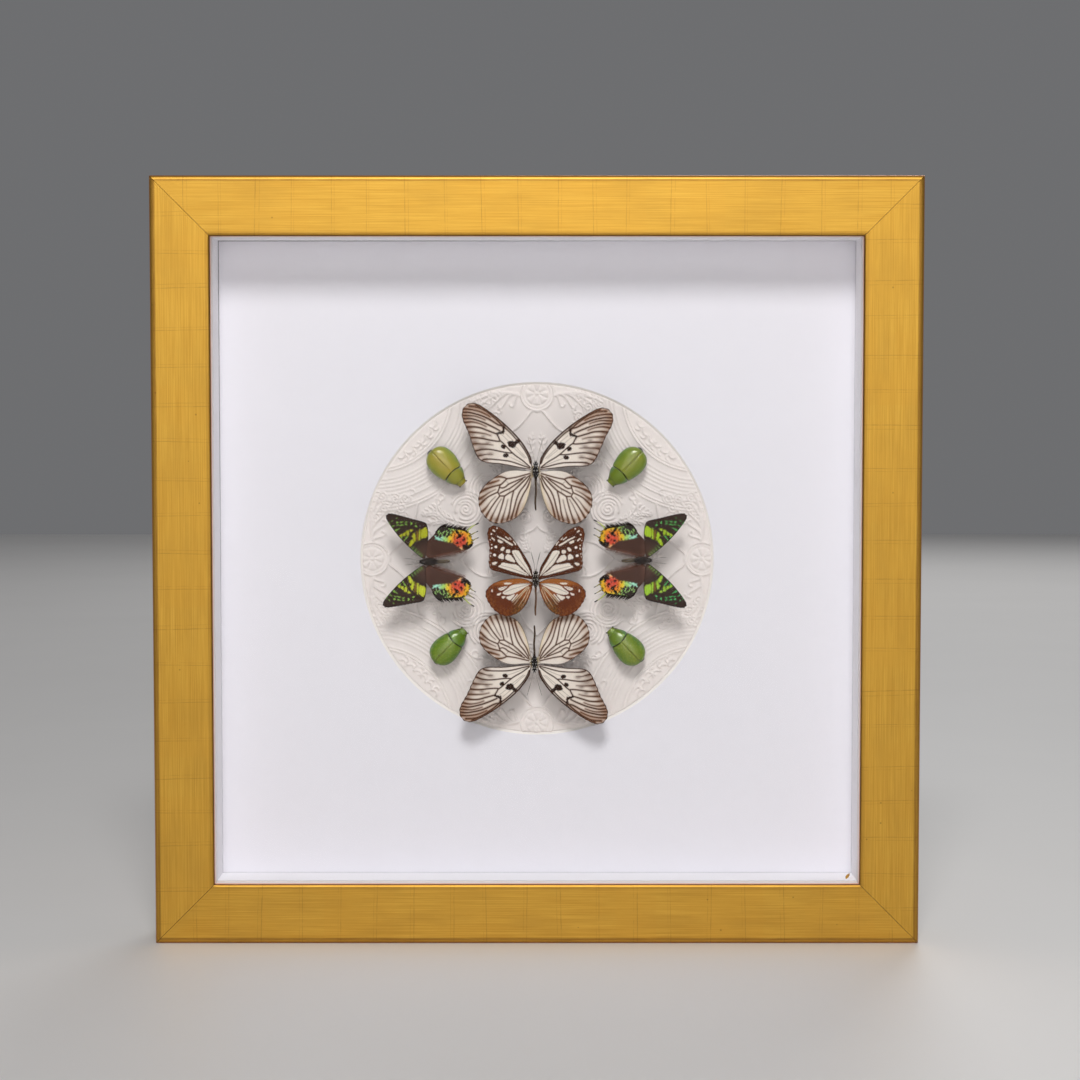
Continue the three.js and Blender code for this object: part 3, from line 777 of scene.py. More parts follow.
def make_paper():
    """A round sheet in the mat's window that carries the relief, with points closest where it is steep."""
    radius = WINDOW_RADIUS - MAT_THICK - 0.35
    count = int(radius / PAPER_PITCH) + 1
    steps = np.arange(-count, count + 1)
    column, row = (a.ravel() for a in np.meshgrid(steps, steps))
    x = column * PAPER_PITCH
    z = row * PAPER_PITCH
    height = relief(x, z).reshape(len(steps), -1)
    steep = np.hypot(*np.gradient(height, PAPER_PITCH)).ravel() > PAPER_STEEP
    coarse = (column % 3 == 0) & (row % 3 == 0)
    keep = (steep | coarse) & (np.hypot(x, z) < radius - 0.6 * PAPER_PITCH)
    rim = radius * circle_points(PAPER_RIM_POINTS)
    flat, tris = triangulate(np.vstack([rim, points_from(x[keep], z[keep])]), len(rim))
    rise = PAPER_GROUND + relief(flat[:, 0], flat[:, 1])
    back = FRONT + PANEL_FRONT - 0.02
    top = points_from(flat[:, 0], FRONT + PANEL_FRONT - rise, HALF + flat[:, 1])
    base = points_from(rim[:, 0], back, HALF + rim[:, 1])
    verts = np.vstack([top, base, [[0, back, HALF]]])
    faces = sheet_faces(tris, len(flat), len(rim))
    add_piece("embossed_sheet", (verts, faces, np.ones_like(verts)), EMBOSSED)


# Wings: outlines and marks in millimetres from the middle of the thorax, x outwards and y headwards.
# Veins, streaks and threads are lines, from bold to fine. Spots, bars, rays, black and green marks are lines
# with half widths, patches, rust and band are rounded areas, and dots and dusk are places with a radius.

NYMPH_FOREWING = {
    "outline": [
        (2.9, 5.2), (4.2, 12), (12.1, 24.5), (26.7, 39.1), (42.2, 50.5), (50.4, 52.6), (56, 48.5),
        (56.8, 41), (52.4, 30.2), (48.3, 17.9), (44.2, 9.6), (38, 6.4), (25.9, 5.1), (9.6, 1.9),
        (3.2, 1.2),
    ],
    "veins": [
        [(4.2, 6), (6, 11.5), (9.5, 17.5), (15.5, 25), (20.8, 30.8), (25.4, 34.6)],
        [(25.4, 34.6), (30, 39.5), (33.6, 42.6), (37, 45.4), (42, 48.4), (46, 50.6)],
        [(23.8, 34), (26, 38), (29, 41.5), (33, 45)],
        [(26, 34.8), (29.5, 36), (35.6, 39.8), (41, 42.3), (46, 43.9), (51, 45.1), (55.8, 45.3)],
        [(27.7, 31), (31.7, 33.3), (36.3, 35.6), (40, 37.3), (45, 39.1), (50, 40.4), (55.6, 40.4)],
        [(29.8, 28.5), (33.3, 29.8), (37.5, 31.4), (41.7, 33.1), (45.8, 33.9), (50, 34.1), (53.8, 33.9)],
        [(27.9, 22.9), (30.8, 23.1), (35.4, 23.9), (41.7, 25.2), (46.7, 25.7), (50.6, 25.6)],
        [(18.3, 13.9), (21.7, 14.1), (26.7, 15), (31.3, 16), (36.7, 16.8), (41.7, 16.6), (46.5, 15.4)],
        [(4.2, 2.8), (6, 4.5), (10, 8), (15, 11.5), (18.5, 14.5), (22, 18.2), (25, 21.3), (27.7, 23.6)],
        [(4.6, 2.4), (10, 4.2), (15, 6), (20, 7.5), (25, 8.3), (30, 8.8), (35, 9.2), (38.5, 9.2),
         (41, 8.6)],
        [(27.7, 23.6), (28.5, 25.7), (29.8, 28.4)],
        [(25, 29), (24.9, 31.5), (25.4, 34.6)],
    ],
    "streaks": [
        [(35, 41.8), (39.6, 44.3), (43.8, 46), (50, 47.4), (55.4, 47.8)],
        [(39, 39.4), (43.8, 41.4), (48, 42.5), (55.6, 42.8)],
        [(38.3, 34.3), (41.7, 36), (45.8, 37.3), (50, 37.9), (54.8, 37.4)],
        [(34.6, 27.3), (38.3, 28.5), (42.5, 29.3), (46.7, 29.8), (52, 30.2)],
        [(32.9, 20), (37.5, 20.6), (41.7, 20.8), (45.8, 21), (48.9, 20.6)],
        [(33.3, 12.7), (37.5, 12.9), (41.3, 12.3), (44.6, 11.6)],
        [(42, 48.3), (46, 49.3), (51, 50)],
    ],
    "threads": [
        [(6, 3.8), (12, 7), (17, 9.5), (21, 11.2)],
        [(7, 10), (11, 14), (15, 18.5)],
        [(8.5, 10), (13, 14.3), (17, 18)],
        [(17, 23), (20, 26), (23, 29)],
        [(20.5, 22.5), (24, 26), (26.5, 28.2)],
    ],
    "spots": [
        ((17.6, 20.4), (18.9, 20.8), 2.6), ((13.6, 23), (14.4, 22.6), 1.5), ((14.4, 22.6), (17, 21), 1.2),
        ((20.4, 21.4), (21, 22), 0.9), ((24.6, 18.6), (25.2, 19), 1.6), ((22.5, 12.1), (23.5, 12), 1.65),
        ((24.8, 30.6), (26.6, 29.6), 0.9), ((26.6, 29.6), (29.4, 29), 0.9),
        ((24.2, 33.6), (24.8, 31), 0.7),
    ],
    "dusk": [
        (41.5, 18, 4.2), (35, 13.4, 2.6), (43, 12.6, 3), (47.4, 22.4, 3.2), (49.6, 28, 2.6),
        (38.6, 8.6, 2.4), (37, 21.5, 2.4), (51.6, 33, 2.4), (40.5, 26.5, 2.2),
    ],
}

NYMPH_HINDWING = {
    "outline": [
        (3, -0.6), (10, 0.4), (17, 0.7), (23.5, -0.4), (30, -3.7), (38.5, -9.8), (43.6, -17), (44.3, -25),
        (41.8, -32.6), (36, -38.8), (29, -40.9), (20, -39), (13, -34.7), (8.3, -27), (4.9, -17), (3, -7),
    ],
    "veins": [
        [(4.5, -2), (10, -3.5), (15, -4.8), (20, -5.7), (22.3, -6)],
        [(22.3, -6), (24.5, -5), (28, -4.4), (32, -4.7)],
        [(22.3, -6), (23.7, -7.5), (25.5, -9.3), (27.3, -10.6), (32, -11.8), (36, -13), (39, -14.2),
         (43.3, -16.6)],
        [(27.4, -10.7), (28.2, -13.3), (29.3, -16.3)],
        [(29.3, -16.3), (28.4, -17.8), (27.5, -19.2), (24, -19.3)],
        [(4, -3.3), (6, -4.5), (9.5, -8), (13.5, -12), (17, -15), (20.5, -17), (24, -19.3)],
        [(29.4, -16.4), (33, -18), (37, -20.2), (40, -22.8), (43, -25.8)],
        [(27.7, -19.3), (30.5, -22.8), (33.5, -27), (36, -31), (38.8, -35.6)],
        [(24.2, -19.6), (25.3, -24), (26.8, -29), (28.5, -34), (30.8, -39.8)],
        [(17, -15.4), (18.3, -20.5), (19.3, -26), (20.3, -32), (22, -38)],
        [(4.5, -4.5), (8, -10.5), (12, -15.5), (14.5, -21), (16, -26.5), (17.5, -32), (19, -37)],
        [(4, -6), (6, -12), (9.5, -18), (12.5, -24.5), (14.3, -30), (15.6, -35)],
        [(10, -6.2), (14.5, -9.5), (20, -13.4), (24, -15.3), (27.4, -17.1)],
        [(8, -4.5), (13, -6.8), (20.5, -10), (23, -12), (25.5, -13.1), (28, -12.6)],
    ],
    "streaks": [
        [(28.5, -7.3), (33, -8.8), (38.5, -10.2)],
        [(31, -14.3), (36, -16.8), (40, -19.5), (43.6, -21.6)],
        [(31, -19.8), (34.5, -23.2), (38, -28), (41.7, -32)],
        [(26.5, -21.5), (29, -25.5), (31, -29.5), (33, -33.5), (35, -38)],
        [(21.5, -22), (23, -28), (24.5, -33), (26.4, -39.2)],
    ],
    "threads": [
        [(21, -10), (21.6, -8.9), (22.6, -8.2)],
        [(20, -13.6), (20.5, -16.8)],
        [(6, -6.8), (10, -12.5), (13, -18)],
        [(5, -8.5), (8, -15), (12, -23)],
        [(8, -6), (12, -9.5), (16, -13)],
    ],
    "spots": [],
    "dusk": [
        (35.5, -9.5, 3), (39.5, -14.5, 3), (41, -22, 2.6), (24, -37.5, 2.6), (31, -37.5, 2.4),
        (19, -36, 2),
    ],
}

TIGER_FOREWING = {
    "outline": [
        (2.4, 2), (3.4, 9.2), (7.4, 16.9), (12.9, 25.6), (18.9, 33.7), (26, 39.9), (33, 42.2),
        (36.6, 39.5), (37.4, 34.5), (36, 27), (36, 20), (36.4, 13), (34.5, 8.2), (27, 5.7), (16.1, 3),
        (3.6, 0.4),
    ],
    "patches": [
        [(3.4, 3.4), (5.6, 9), (9.6, 16), (13, 22.2), (17.4, 22.8), (18, 21), (15.2, 15.4), (13, 12),
         (8, 7.2), (4.6, 4)],
        [(15.9, 14.3), (18.5, 18.2), (20.7, 19.7), (22.5, 19.4), (23.5, 16.4), (20, 14.6), (16.6, 13.6)],
        [(24.7, 19.4), (26, 20.4), (27.6, 19.8), (28.9, 17.4), (27, 16.4), (24.8, 16.2)],
        [(5.6, 4), (10, 7.4), (14.5, 11.5), (20, 12.4), (25.5, 13.4), (27, 11.9), (28.8, 10.3), (25.5, 9),
         (20, 7.1), (13, 5), (7.4, 3.5)],
        [(19.7, 22.9), (21.6, 23.6), (23, 22.7), (22.5, 21), (20.2, 20.8)],
        [(24, 25.2), (25.4, 25.5), (26.6, 24.5), (27.3, 23.1), (25.7, 22.4), (24.5, 23.3)],
        [(25.2, 29.2), (27.5, 30.8), (29.3, 31), (28.9, 29.5), (26.8, 28.4)],
        [(29.7, 13.4), (31.4, 14), (33.6, 13), (33.2, 11.8), (31.4, 11.7)],
    ],
    "bars": [
        ([(18.2, 27.1), (21.3, 28.9), (25, 31.4), (29.4, 33.6)], 0.75, 0.45),
        ([(15.4, 27.4), (17, 29.8)], 0.5, 0.4), ([(19, 31.5), (20.2, 32.7)], 0.35, 0.3),
        ([(20.8, 31.4), (23.3, 33.3)], 0.4, 0.35), ([(32, 31), (33.6, 32.4)], 0.6, 0.5),
        ([(31.8, 37.7), (32.7, 38.5)], 0.6, 0.6),
    ],
    "dots": [
        (29.8, 40.1, 0.6), (34.1, 35.5, 0.65), (30.7, 25.6, 1.05), (33.9, 27.2, 0.55), (33.9, 24.6, 0.65),
        (31.7, 19.3, 1.1), (34.5, 20.7, 0.45), (35, 18.5, 0.4), (35.4, 15.2, 0.35), (35, 31, 0.35),
        (35.2, 11.6, 0.3),
    ],
    "rays": [],
    "veins": [
        [(4.6, 4.6), (8, 9.6), (12.5, 15.5), (16.5, 21)],
        [(6.5, 3.9), (13, 6.8), (20, 9.4), (26.5, 11)],
    ],
}

TIGER_HINDWING = {
    "outline": [
        (2.9, -2), (10.7, 1), (20, 0.8), (29.2, -1.1), (35.5, -4.6), (39, -10), (37.6, -16), (33, -22.8),
        (26.5, -27.4), (20, -28.2), (13, -25.3), (7.4, -19), (4, -11), (2.7, -6),
    ],
    "patches": [
        [(4.2, -3.1), (10, -2.8), (16, -3.5), (19.5, -4.9), (22, -7), (25, -9.3), (25.2, -10.9),
         (22, -11.6), (18, -10.9), (14, -9.2), (9, -6.2), (5.2, -4)],
        [(18.8, -2.4), (24, -2.3), (24.1, -3.4), (20.6, -3.6)],
        [(21.7, -5), (24.5, -5.3), (28.6, -6.6), (28.3, -7.9), (26.2, -8.2), (23.7, -6.9)],
        [(26.7, -10), (29.9, -11), (29.1, -12.2), (27.3, -11.5)],
        [(16.1, -11.1), (20, -12.5), (22.3, -13.1), (22.3, -14.6), (20, -15.8), (18.5, -14.7)],
        [(23.4, -13), (25.8, -12.7), (26.2, -13.8), (25, -14.6)],
    ],
    "bars": [
        ([(14.4, -11.6), (17, -14.8), (18.4, -16.2)], 0.5, 0.4), ([(33.7, -7.8), (33.7, -9)], 0.5, 0.5),
    ],
    "rays": [
        ([(5, -6), (9, -14), (13.2, -20.4)], 0.35, 0.3),
        ([(5.6, -5.6), (11.5, -12.3), (16.6, -19.2)], 0.4, 0.35),
        ([(6.4, -5.6), (13.5, -12.8), (17.6, -17.4)], 0.3, 0.35),
        ([(4.4, -8), (8, -16.5), (11.4, -21.6)], 0.25, 0.2),
    ],
    "veins": [
        [(5, -3.4), (12, -5.4), (18, -7.2), (24, -9.8)],
        [(5, -3), (12, -3.3), (20, -4.3), (27, -7.2)],
        [(4.6, -4.6), (10, -10), (15.6, -17.4)],
        [(4.4, -5.6), (8.6, -12.6), (13.4, -20)],
    ],
    "dots": [],
}

MOTH_FOREWING = {
    "outline": [
        (2.9, 5.7), (10.9, 15.2), (20.1, 23.9), (30.4, 31.5), (35.6, 33.6), (37.9, 30.5), (36.4, 22.8),
        (33.7, 13), (30.9, 3.8), (28, 1.4), (20.7, 0.6), (12.5, 1.7), (5, 2.6), (3, 3.2),
    ],
    "patches": [
        [(18.6, 6.2), (25, 5.8), (26.7, 2.7), (25.8, 1.6), (21.4, 1), (19.3, 2.2)],
        [(17, 8.2), (24.9, 7.6), (24.6, 6.7), (17.7, 6.9)],
        [(16, 11.2), (18.8, 12.9), (20.6, 13.2), (22.8, 11.4), (20, 10.6), (16.3, 10.3)],
        [(11.1, 15.6), (13.5, 15.5), (15.5, 14.8), (17.3, 13.8), (15.8, 11.3), (13.4, 13.2)],
        [(19.4, 23), (20.8, 22.6), (21.6, 21), (20.4, 20.9), (19.6, 21.6)],
        [(20, 20.4), (22.4, 20), (22.8, 18.6), (21, 18.2), (20.2, 19)],
        [(20, 16.6), (22.2, 17.6), (24, 17.6), (24.6, 16.2), (23, 15.6), (20.6, 15.8)],
        [(23.6, 14.8), (25, 14.6), (25.3, 13), (24.2, 12.6)],
    ],
    "rust": [[(17.6, 9.8), (23.5, 9.7), (23, 8.5), (17.6, 8.6)]],
    "bars": [
        ([(16.1, 19.6), (18.2, 18), (19.2, 16.9)], 0.35, 0.35), ([(18.2, 21.8), (19.6, 20.9)], 0.3, 0.4),
        ([(23.8, 26.9), (24.5, 25.6), (25.1, 24.6)], 0.4, 0.3), ([(25.4, 24.2), (25.9, 23)], 0.35, 0.35),
        ([(28.4, 25), (28.6, 23.6)], 0.3, 0.3), ([(30.4, 25.3), (31, 24)], 0.4, 0.4),
        ([(28.5, 22.2), (28.6, 20.2)], 0.4, 0.35), ([(31, 22), (31, 20.6)], 0.35, 0.3),
        ([(29, 18.8), (29.2, 17.2)], 0.3, 0.3), ([(31, 18.6), (30.8, 17.2)], 0.3, 0.3),
        ([(27.6, 10.8), (27.8, 9.2)], 0.4, 0.35), ([(26.6, 28.8), (27.4, 28.7)], 0.35, 0.3),
        ([(27.8, 28.2), (28, 27.1)], 0.35, 0.3), ([(31.6, 29), (32, 28.2)], 0.35, 0.35),
    ],
    "dots": [(30, 31, 0.75), (30, 13.7, 0.75), (29.9, 10.2, 0.4), (33.9, 25, 0.35)],
}

MOTH_HINDWING = {
    "outline": [
        (3.1, 0.8), (6, 3.2), (10.4, 3.3), (15.6, 1.6), (21, -3.6), (26.4, -7.3), (28.2, -11.5),
        (26.6, -18.5), (25.4, -26.6), (23, -31.4), (18.5, -33.4), (13.4, -34.2), (9.4, -29.6),
        (7.1, -20.1), (5.2, -10.3), (3.2, -3),
    ],
    "band": [
        (17.6, -5), (20, -4.8), (19, -8.5), (20.3, -11), (19.2, -13.4), (20, -15.8), (22.6, -18),
        (26.2, -18), (25.9, -22), (25.3, -25.5), (24.6, -29), (22, -31.6), (18.5, -33), (15, -33.6),
        (11.8, -31.5), (14, -28.5), (11, -26), (9, -26.6), (9.2, -24.4), (11.8, -23.2), (12.8, -20.6),
        (15, -18.6), (15.4, -14.5), (16.6, -8.5),
    ],
    "black": [
        ([(16, -16.3), (16.1, -16.4)], 0.65), ([(14.4, -21.2), (14.8, -22)], 0.85),
        ([(18.8, -22), (20.2, -24.2), (21.6, -22.8), (24, -21)], 0.95),
        ([(12.2, -26.7), (12.6, -27.2)], 1.1), ([(10.8, -29), (14.6, -29.3)], 0.8),
        ([(16.4, -26.9), (18.8, -27.3)], 0.7), ([(16.9, -26), (16.9, -26.6)], 0.6),
        ([(21.2, -26), (21.7, -26)], 0.45), ([(17.6, -30), (18.8, -29.3)], 0.4),
        ([(18.9, -31.6), (21, -31.3)], 0.4), ([(22.6, -29.8), (24, -28.4), (25.4, -27)], 0.5),
        ([(12.2, -33.2), (15.8, -32.8)], 0.5), ([(9.6, -28.4), (10.6, -31.4), (12, -33.2)], 0.55),
        ([(21.6, -19.8), (23, -18.9)], 0.4), ([(20.5, -17), (20.8, -17.4)], 0.55),
        ([(25.4, -18.6), (26.6, -20.6)], 0.45), ([(25.3, -23.6), (25.5, -25.8)], 0.45),
        ([(24.9, -28.4), (23.2, -30.8)], 0.4), ([(20.2, -32.4), (22.6, -31.4)], 0.4),
        ([(15.6, -33.6), (18.4, -33.2)], 0.4), ([(10.4, -28.6), (12, -31.4)], 1.3),
        ([(12.6, -31), (13.4, -32.6)], 0.8), ([(22.6, -24.4), (23.6, -25)], 0.5),
        ([(19.4, -19.4), (20.4, -19.8)], 0.45), ([(17.4, -19.2), (17.9, -19.6)], 0.35),
        ([(14.6, -24.6), (15.4, -24.2)], 0.4), ([(22.2, -15.4), (24.6, -17.2)], 0.55),
        ([(23.4, -18.4), (25.2, -20)], 0.4), ([(26.2, -17.6), (25.9, -20)], 0.7),
        ([(25.8, -21.4), (25.2, -24)], 0.6), ([(23.6, -20.4), (24.6, -22)], 0.5),
    ],
    "green": [
        ([(22.2, -16.4), (22.8, -17)], 0.45), ([(25.4, -15.1), (25.8, -15.6)], 0.45),
        ([(23.6, -13.2), (24.4, -14)], 0.3), ([(24.4, -16.4), (25.2, -17)], 0.35),
        ([(26.2, -17.4), (26.6, -18.2)], 0.35), ([(24.6, -18.6), (25.3, -19.2)], 0.35),
        ([(25.4, -21.4), (26, -22)], 0.35), ([(20.4, -7.4), (22.4, -9)], 0.3),
        ([(20.9, -10), (23.2, -11.4)], 0.3), ([(20.4, -13), (22.6, -14.4)], 0.3),
        ([(22.4, -6.6), (24.4, -8)], 0.25), ([(26.6, -13.4), (27, -14)], 0.3),
        ([(22.8, -11.2), (23.4, -12)], 0.25),
    ],
    "tails": [
        ([(24, -29.4), (27.4, -33.2), (30.2, -38.3)], 0.75, "BFC878"),
        ([(20.5, -31.6), (22.4, -34.8), (23.9, -38)], 0.55, "8E8440"),
        ([(15.5, -32.5), (17.6, -35.4), (18.8, -38.2)], 0.55, "8E8440"),
    ],
    "spikes": [
        (23.6, -5.8), (27, -8.4), (27.9, -12), (27, -16.4), (26.2, -20.6), (25.5, -25), (24.4, -28.8),
    ],
    "fringe": [(3.4, -3), (5.2, -10.3), (7.1, -20.1), (9, -27.6)],
}


def ragged(points, size):
    """Points moved by a fine wave, so that marks painted with them get uneven edges."""
    x, y = points.T
    dx = np.sin(2.3 * y + 1.1 * x) + 0.6 * np.sin(5.9 * y - 1.7 * x)
    dy = np.sin(2.9 * x - 0.7 * y) + 0.6 * np.sin(5.1 * x + 2.2 * y)
    return points + size * points_from(dx, dy)


def nymph_colors(points, wing, fore):
    """Cream membrane with brown veins that are softly shaded, smoky towards the outer edge."""
    edge, share = rim_gap(points, wing["outline"])
    away = np.hypot(points[:, 0], points[:, 1])
    colors = plain(points, "EBE0D4")
    beside = np.full(len(points), 9.0)
    for line in wing["streaks"] + wing["veins"]:
        gap, _ = near_path(points, spline(line, per=5), reach=4.0)
        beside = np.minimum(beside, gap)
    shaded = smooth(1.8, 0.2, beside)
    if fore:
        outward = smooth(26, 54, away)
        smoke = outward * (0.06 + 0.65 * shaded) + 0.42 * smooth(9, 0, edge) * smooth(32, 48, away)
        smoke += 0.15 * smooth(54, 68, away)
        border = 0.75 + 0.65 * smooth(0.42, 0.05, share)
        vein = rgb("442A1C")
    else:
        outward = smooth(10, 1, edge) * smooth(18, 34, away)
        smoke = outward * (0.4 + 0.55 * shaded) + 0.26 * shaded
        border = 0.3 + 0.4 * smooth(28, 40, away)
        vein = rgb("553623")
        inner = smooth(8, 3, points[:, 0] + 0.28 * points[:, 1]) * smooth(-4, -12, points[:, 1])
        paint(colors, 0.5 * inner * smooth(3.5, 0.5, edge), "D9C08C")
    paint(colors, smoke, "8E6850")
    for x, y, radius in wing["dusk"]:
        gap = np.hypot(points[:, 0] - x, (points[:, 1] - y) * 1.5)
        paint(colors, 0.6 * np.exp(-((gap / radius) ** 2)), "66483A")
    for line in wing["threads"]:
        paint(colors, 0.75 * on_line(points, line, 0.18, 0.14, 0.3), "5A4230")
    for line in wing["streaks"]:
        paint(colors, 0.95 * on_line(points, line, 0.18, 0.5, 0.35), vein)
    for line in wing["veins"]:
        paint(colors, on_line(points, line, 0.52, 0.52, 0.34), vein)
    marks = ragged(points, 0.16)
    for start, end, radius in wing["spots"]:
        paint(colors, on_line(marks, [start, end], radius, radius, 0.4), "2C1A12")
    return paint(colors, smooth(border + 0.35, border - 0.35, edge), "3C2418")


def tiger_colors(points, wing, fore):
    """Dark and chestnut brown with pale windows, bars and dots."""
    edge, _ = rim_gap(points, wing["outline"])
    x, y = points.T
    marks = ragged(points, 0.1)
    pale = rgb("E4DACD")
    if fore:
        colors = plain(points, "4C2817")
        paint(colors, 0.6 * smooth(5, 1, edge) * smooth(24, 40, np.hypot(x, y)), "663418")
    else:
        colors = plain(points, "8C4A20")
        outer = smooth(19, 27, np.hypot(x, 1.35 * y)) * smooth(-3, -6, y)
        paint(colors, outer, "622E16")
        paint(colors, smooth(14, 6, x + 0.3 * y) * smooth(-13, -20, y), "5E4020")
        paint(colors, smooth(-3.4, -1.4, y + 0.05 * x) * smooth(36, 24, x), "9C5E2C")
        fleck = np.sin(x * 2.2 + 1.2 * np.sin(y * 1.7)) * np.sin(y * 2.1 + 1.1 * np.sin(x * 1.3))
        paint(colors, 0.6 * smooth(0.15, 0.7, fleck) * outer * smooth(9, 3, edge), "AA6630")
        paint(colors, 0.5 * smooth(0.15, 0.7, -fleck) * outer, "4A200F")
    for corners in wing["patches"]:
        paint(colors, in_patch(marks, corners, 0.3), pale)
    for line, root, tip in wing["bars"]:
        paint(colors, 0.95 * on_line(marks, line, root, tip, 0.3), pale)
    for line, root, tip in wing["rays"]:
        fade = 0.3 + 0.7 * smooth(-22, -12, y)
        paint(colors, fade * on_line(marks, line, root, tip, 0.3), "D6BE9C")
    for line in wing["veins"]:
        paint(colors, 0.75 * on_line(points, line, 0.22, 0.16, 0.3), "4A2614")
    for dot in wing["dots"]:
        paint(colors, on_dot(marks, *dot), "EFE9E0")
    return paint(colors, smooth(0.6, 0.15, edge), "351B0E")


def moth_forewing_colors(points, wing, hue):
    """Brown-black with lime bands, rows of dots and fine green lines near the root."""
    edge, _ = rim_gap(points, wing["outline"])
    colors = plain(points, "33241F")
    paint(colors, smooth(12, 5, np.hypot(points[:, 0] - 6, points[:, 1] - 1)), "4A332B")
    forward = points[:, 0] * 0.68 + points[:, 1] * 0.73
    lines = smooth(0.25, 0.7, np.sin(forward * 2.8 + 0.6 * np.sin(points[:, 0])))
    inward = points[:, 0] * 0.73 - points[:, 1] * 0.68
    field = smooth(5, 8, forward) * smooth(19, 15, forward) * smooth(1.8, -0.4, inward)
    paint(colors, 0.9 * lines * field, "86B45C")
    lime, leaf = hue
    marks = ragged(points, 0.3)
    for corners in wing["rust"]:
        paint(colors, 0.8 * in_patch(marks, corners), "8A6A28")
    for corners in wing["patches"]:
        paint(colors, in_patch(marks, corners), lime)
    for line, root, tip in wing["bars"]:
        paint(colors, on_line(marks, line, root, tip, 0.25), leaf)
    for dot in wing["dots"]:
        paint(colors, on_dot(marks, *dot), leaf)
    ripple = 0.3 * smooth(0.3, 0.9, np.sin(points[:, 1] * 3.1 + 0.8 * np.sin(points[:, 0] * 1.3)))
    green = colors[:, 1] > 0.2
    colors[green] *= 1 - 0.7 * ripple[green, None]
    return paint(colors, smooth(0.8, 0.2, edge), "1C1614")


def moth_hindwing_colors(points, wing):
    """Brown, with a band from pale green through yellow and orange to red, spotted with black."""
    edge, _ = rim_gap(points, wing["outline"])
    x, y = points.T
    colors = plain(points, "472E25")
    paint(colors, smooth(17, 21, x) * smooth(-4, -7, y), "2E2522")
    band = plain(points, "A6DCC6")
    paint(band, smooth(-8, -13, y), "A8D26E")
    paint(band, smooth(-13, -16, y), "E3C52E")
    paint(band, smooth(-16, -20, y), "E8902A")
    red = smooth(7.5, 2.5, np.hypot(x - 15.5, (y + 24.5) * 0.8))
    paint(band, red, "D2503C")
    paint(band, smooth(21.5, 24.5, x) * smooth(-16, -18.5, y), "E8C63C")
    paint(band, smooth(-27.5, -31, y), "E2B22C")
    paint(band, smooth(12, 10, x) * smooth(-22, -24, y), "F2C890")
    cross = 0.75 * smooth(0.4, 0.9, np.sin((x - 0.6 * y) * 2.2)) * smooth(-18, -6, y)
    paint(band, cross, "4E7E68")
    marks = ragged(points, 0.3)
    mask = in_patch(ragged(points, 0.55), wing["band"], 0.3)
    paint(colors, mask, band)
    for line, half in wing["black"]:
        paint(colors, on_line(marks, line, half, half, 0.25), "16110E")
    for line, half in wing["green"]:
        paint(colors, on_line(marks, line, half, half, 0.25), "A8D878")
    paint(colors, 0.4 * smooth(-3.5, -0.5, y - 0.12 * x), "6A4A3E")
    paint(colors, 0.35 * smooth(2.5, 0.5, edge) * smooth(12, 8, x), "7C5546")
    return paint(colors, 0.8 * smooth(0.5, 0.1, edge), "221A17")


def wing_blank(outline, spacing, scallop):
    """A fine flat mesh of a wing with shallow scallops, and the number of points on its edge."""
    loop = even(spline(outline, closed=True, per=12), spacing, closed=True)
    depth, pitch = scallop
    away = np.linalg.norm(loop, axis=1)
    run = np.arange(len(loop)) * spacing
    bite = depth * (0.5 - 0.5 * np.cos(2 * math.pi * run / pitch)) * smooth(0.6, 0.75, away / away.max())
    loop *= (1 - bite / away)[:, None]
    low = loop.min(0)
    high = loop.max(0)
    rows = np.arange(low[1], high[1], spacing * 0.866)
    points = []
    for i, y in enumerate(rows):
        xs = np.arange(low[0] + (i % 2) * spacing / 2, high[0], spacing)
        points.append(points_from(xs, y))
    grid = np.vstack(points)
    grid = grid[inside_loop(grid, loop)]
    gap, _ = near_path(grid, np.vstack([loop, loop[:1]]))
    grid = grid[gap > 0.62 * spacing]
    flat, tris = triangulate(np.vstack([loop, grid]), len(loop))
    return flat, tris, len(loop)


def wing_height(species, reach):
    """How far the wing stands above its root, as in the solids."""
    share = np.abs(reach) / WING_REACH
    return species["rise"] * share - species["droop"] * share**2


def vein_relief(points, wing):
    """Raised veins, by distance."""
    lift = np.zeros(len(points))
    for line in wing.get("veins", []):
        gap, _ = near_path(points, spline(line, per=5), reach=2.0)
        np.maximum(lift, 0.1 * np.exp(-((gap / 0.4) ** 2)), out=lift)
    return lift


def make_wing(species, kind, side, degrees, blank, colors):
    """One wing in the specimen's own frame: a fine upper face on a thin closed blade."""
    wing = species[kind]
    flat, tris, rim, lift = blank
    hinge = np.array(wing["outline"][0])
    turn = math.radians(degrees)
    spin = np.array([[math.cos(turn), math.sin(turn)], [-math.sin(turn), math.cos(turn)]])
    base = FOREWING_BASE if kind == "forewing" else HINDWING_BASE

    def stand(points, extra):
        """Points of the flat wing, turned at the hinge and raised."""
        placed = (points - hinge) @ spin + hinge
        height = base + wing_height(species, placed[:, 0]) + extra
        return points_from(side * placed[:, 0], placed[:, 1], height)

    flutter = 0.12 * np.sin(flat[:, 0] * 0.33) * np.sin(flat[:, 1] * 0.29)
    top = stand(flat, WING_HALF_THICK + lift + flutter)
    below = stand(flat[:rim], -WING_HALF_THICK)
    middle = stand(flat[:rim].mean(0, keepdims=True), -1.2 * WING_HALF_THICK)
    faces = sheet_faces(tris, len(flat), rim)
    if side < 0:
        faces = faces[:, ::-1]
    under = np.vstack([colors[:rim], colors[:rim].mean(0)]) * 0.8
    blade = (np.vstack([top, below, middle]), faces, np.vstack([colors, under]))
    return join([blade] + wing_trim(wing, stand))


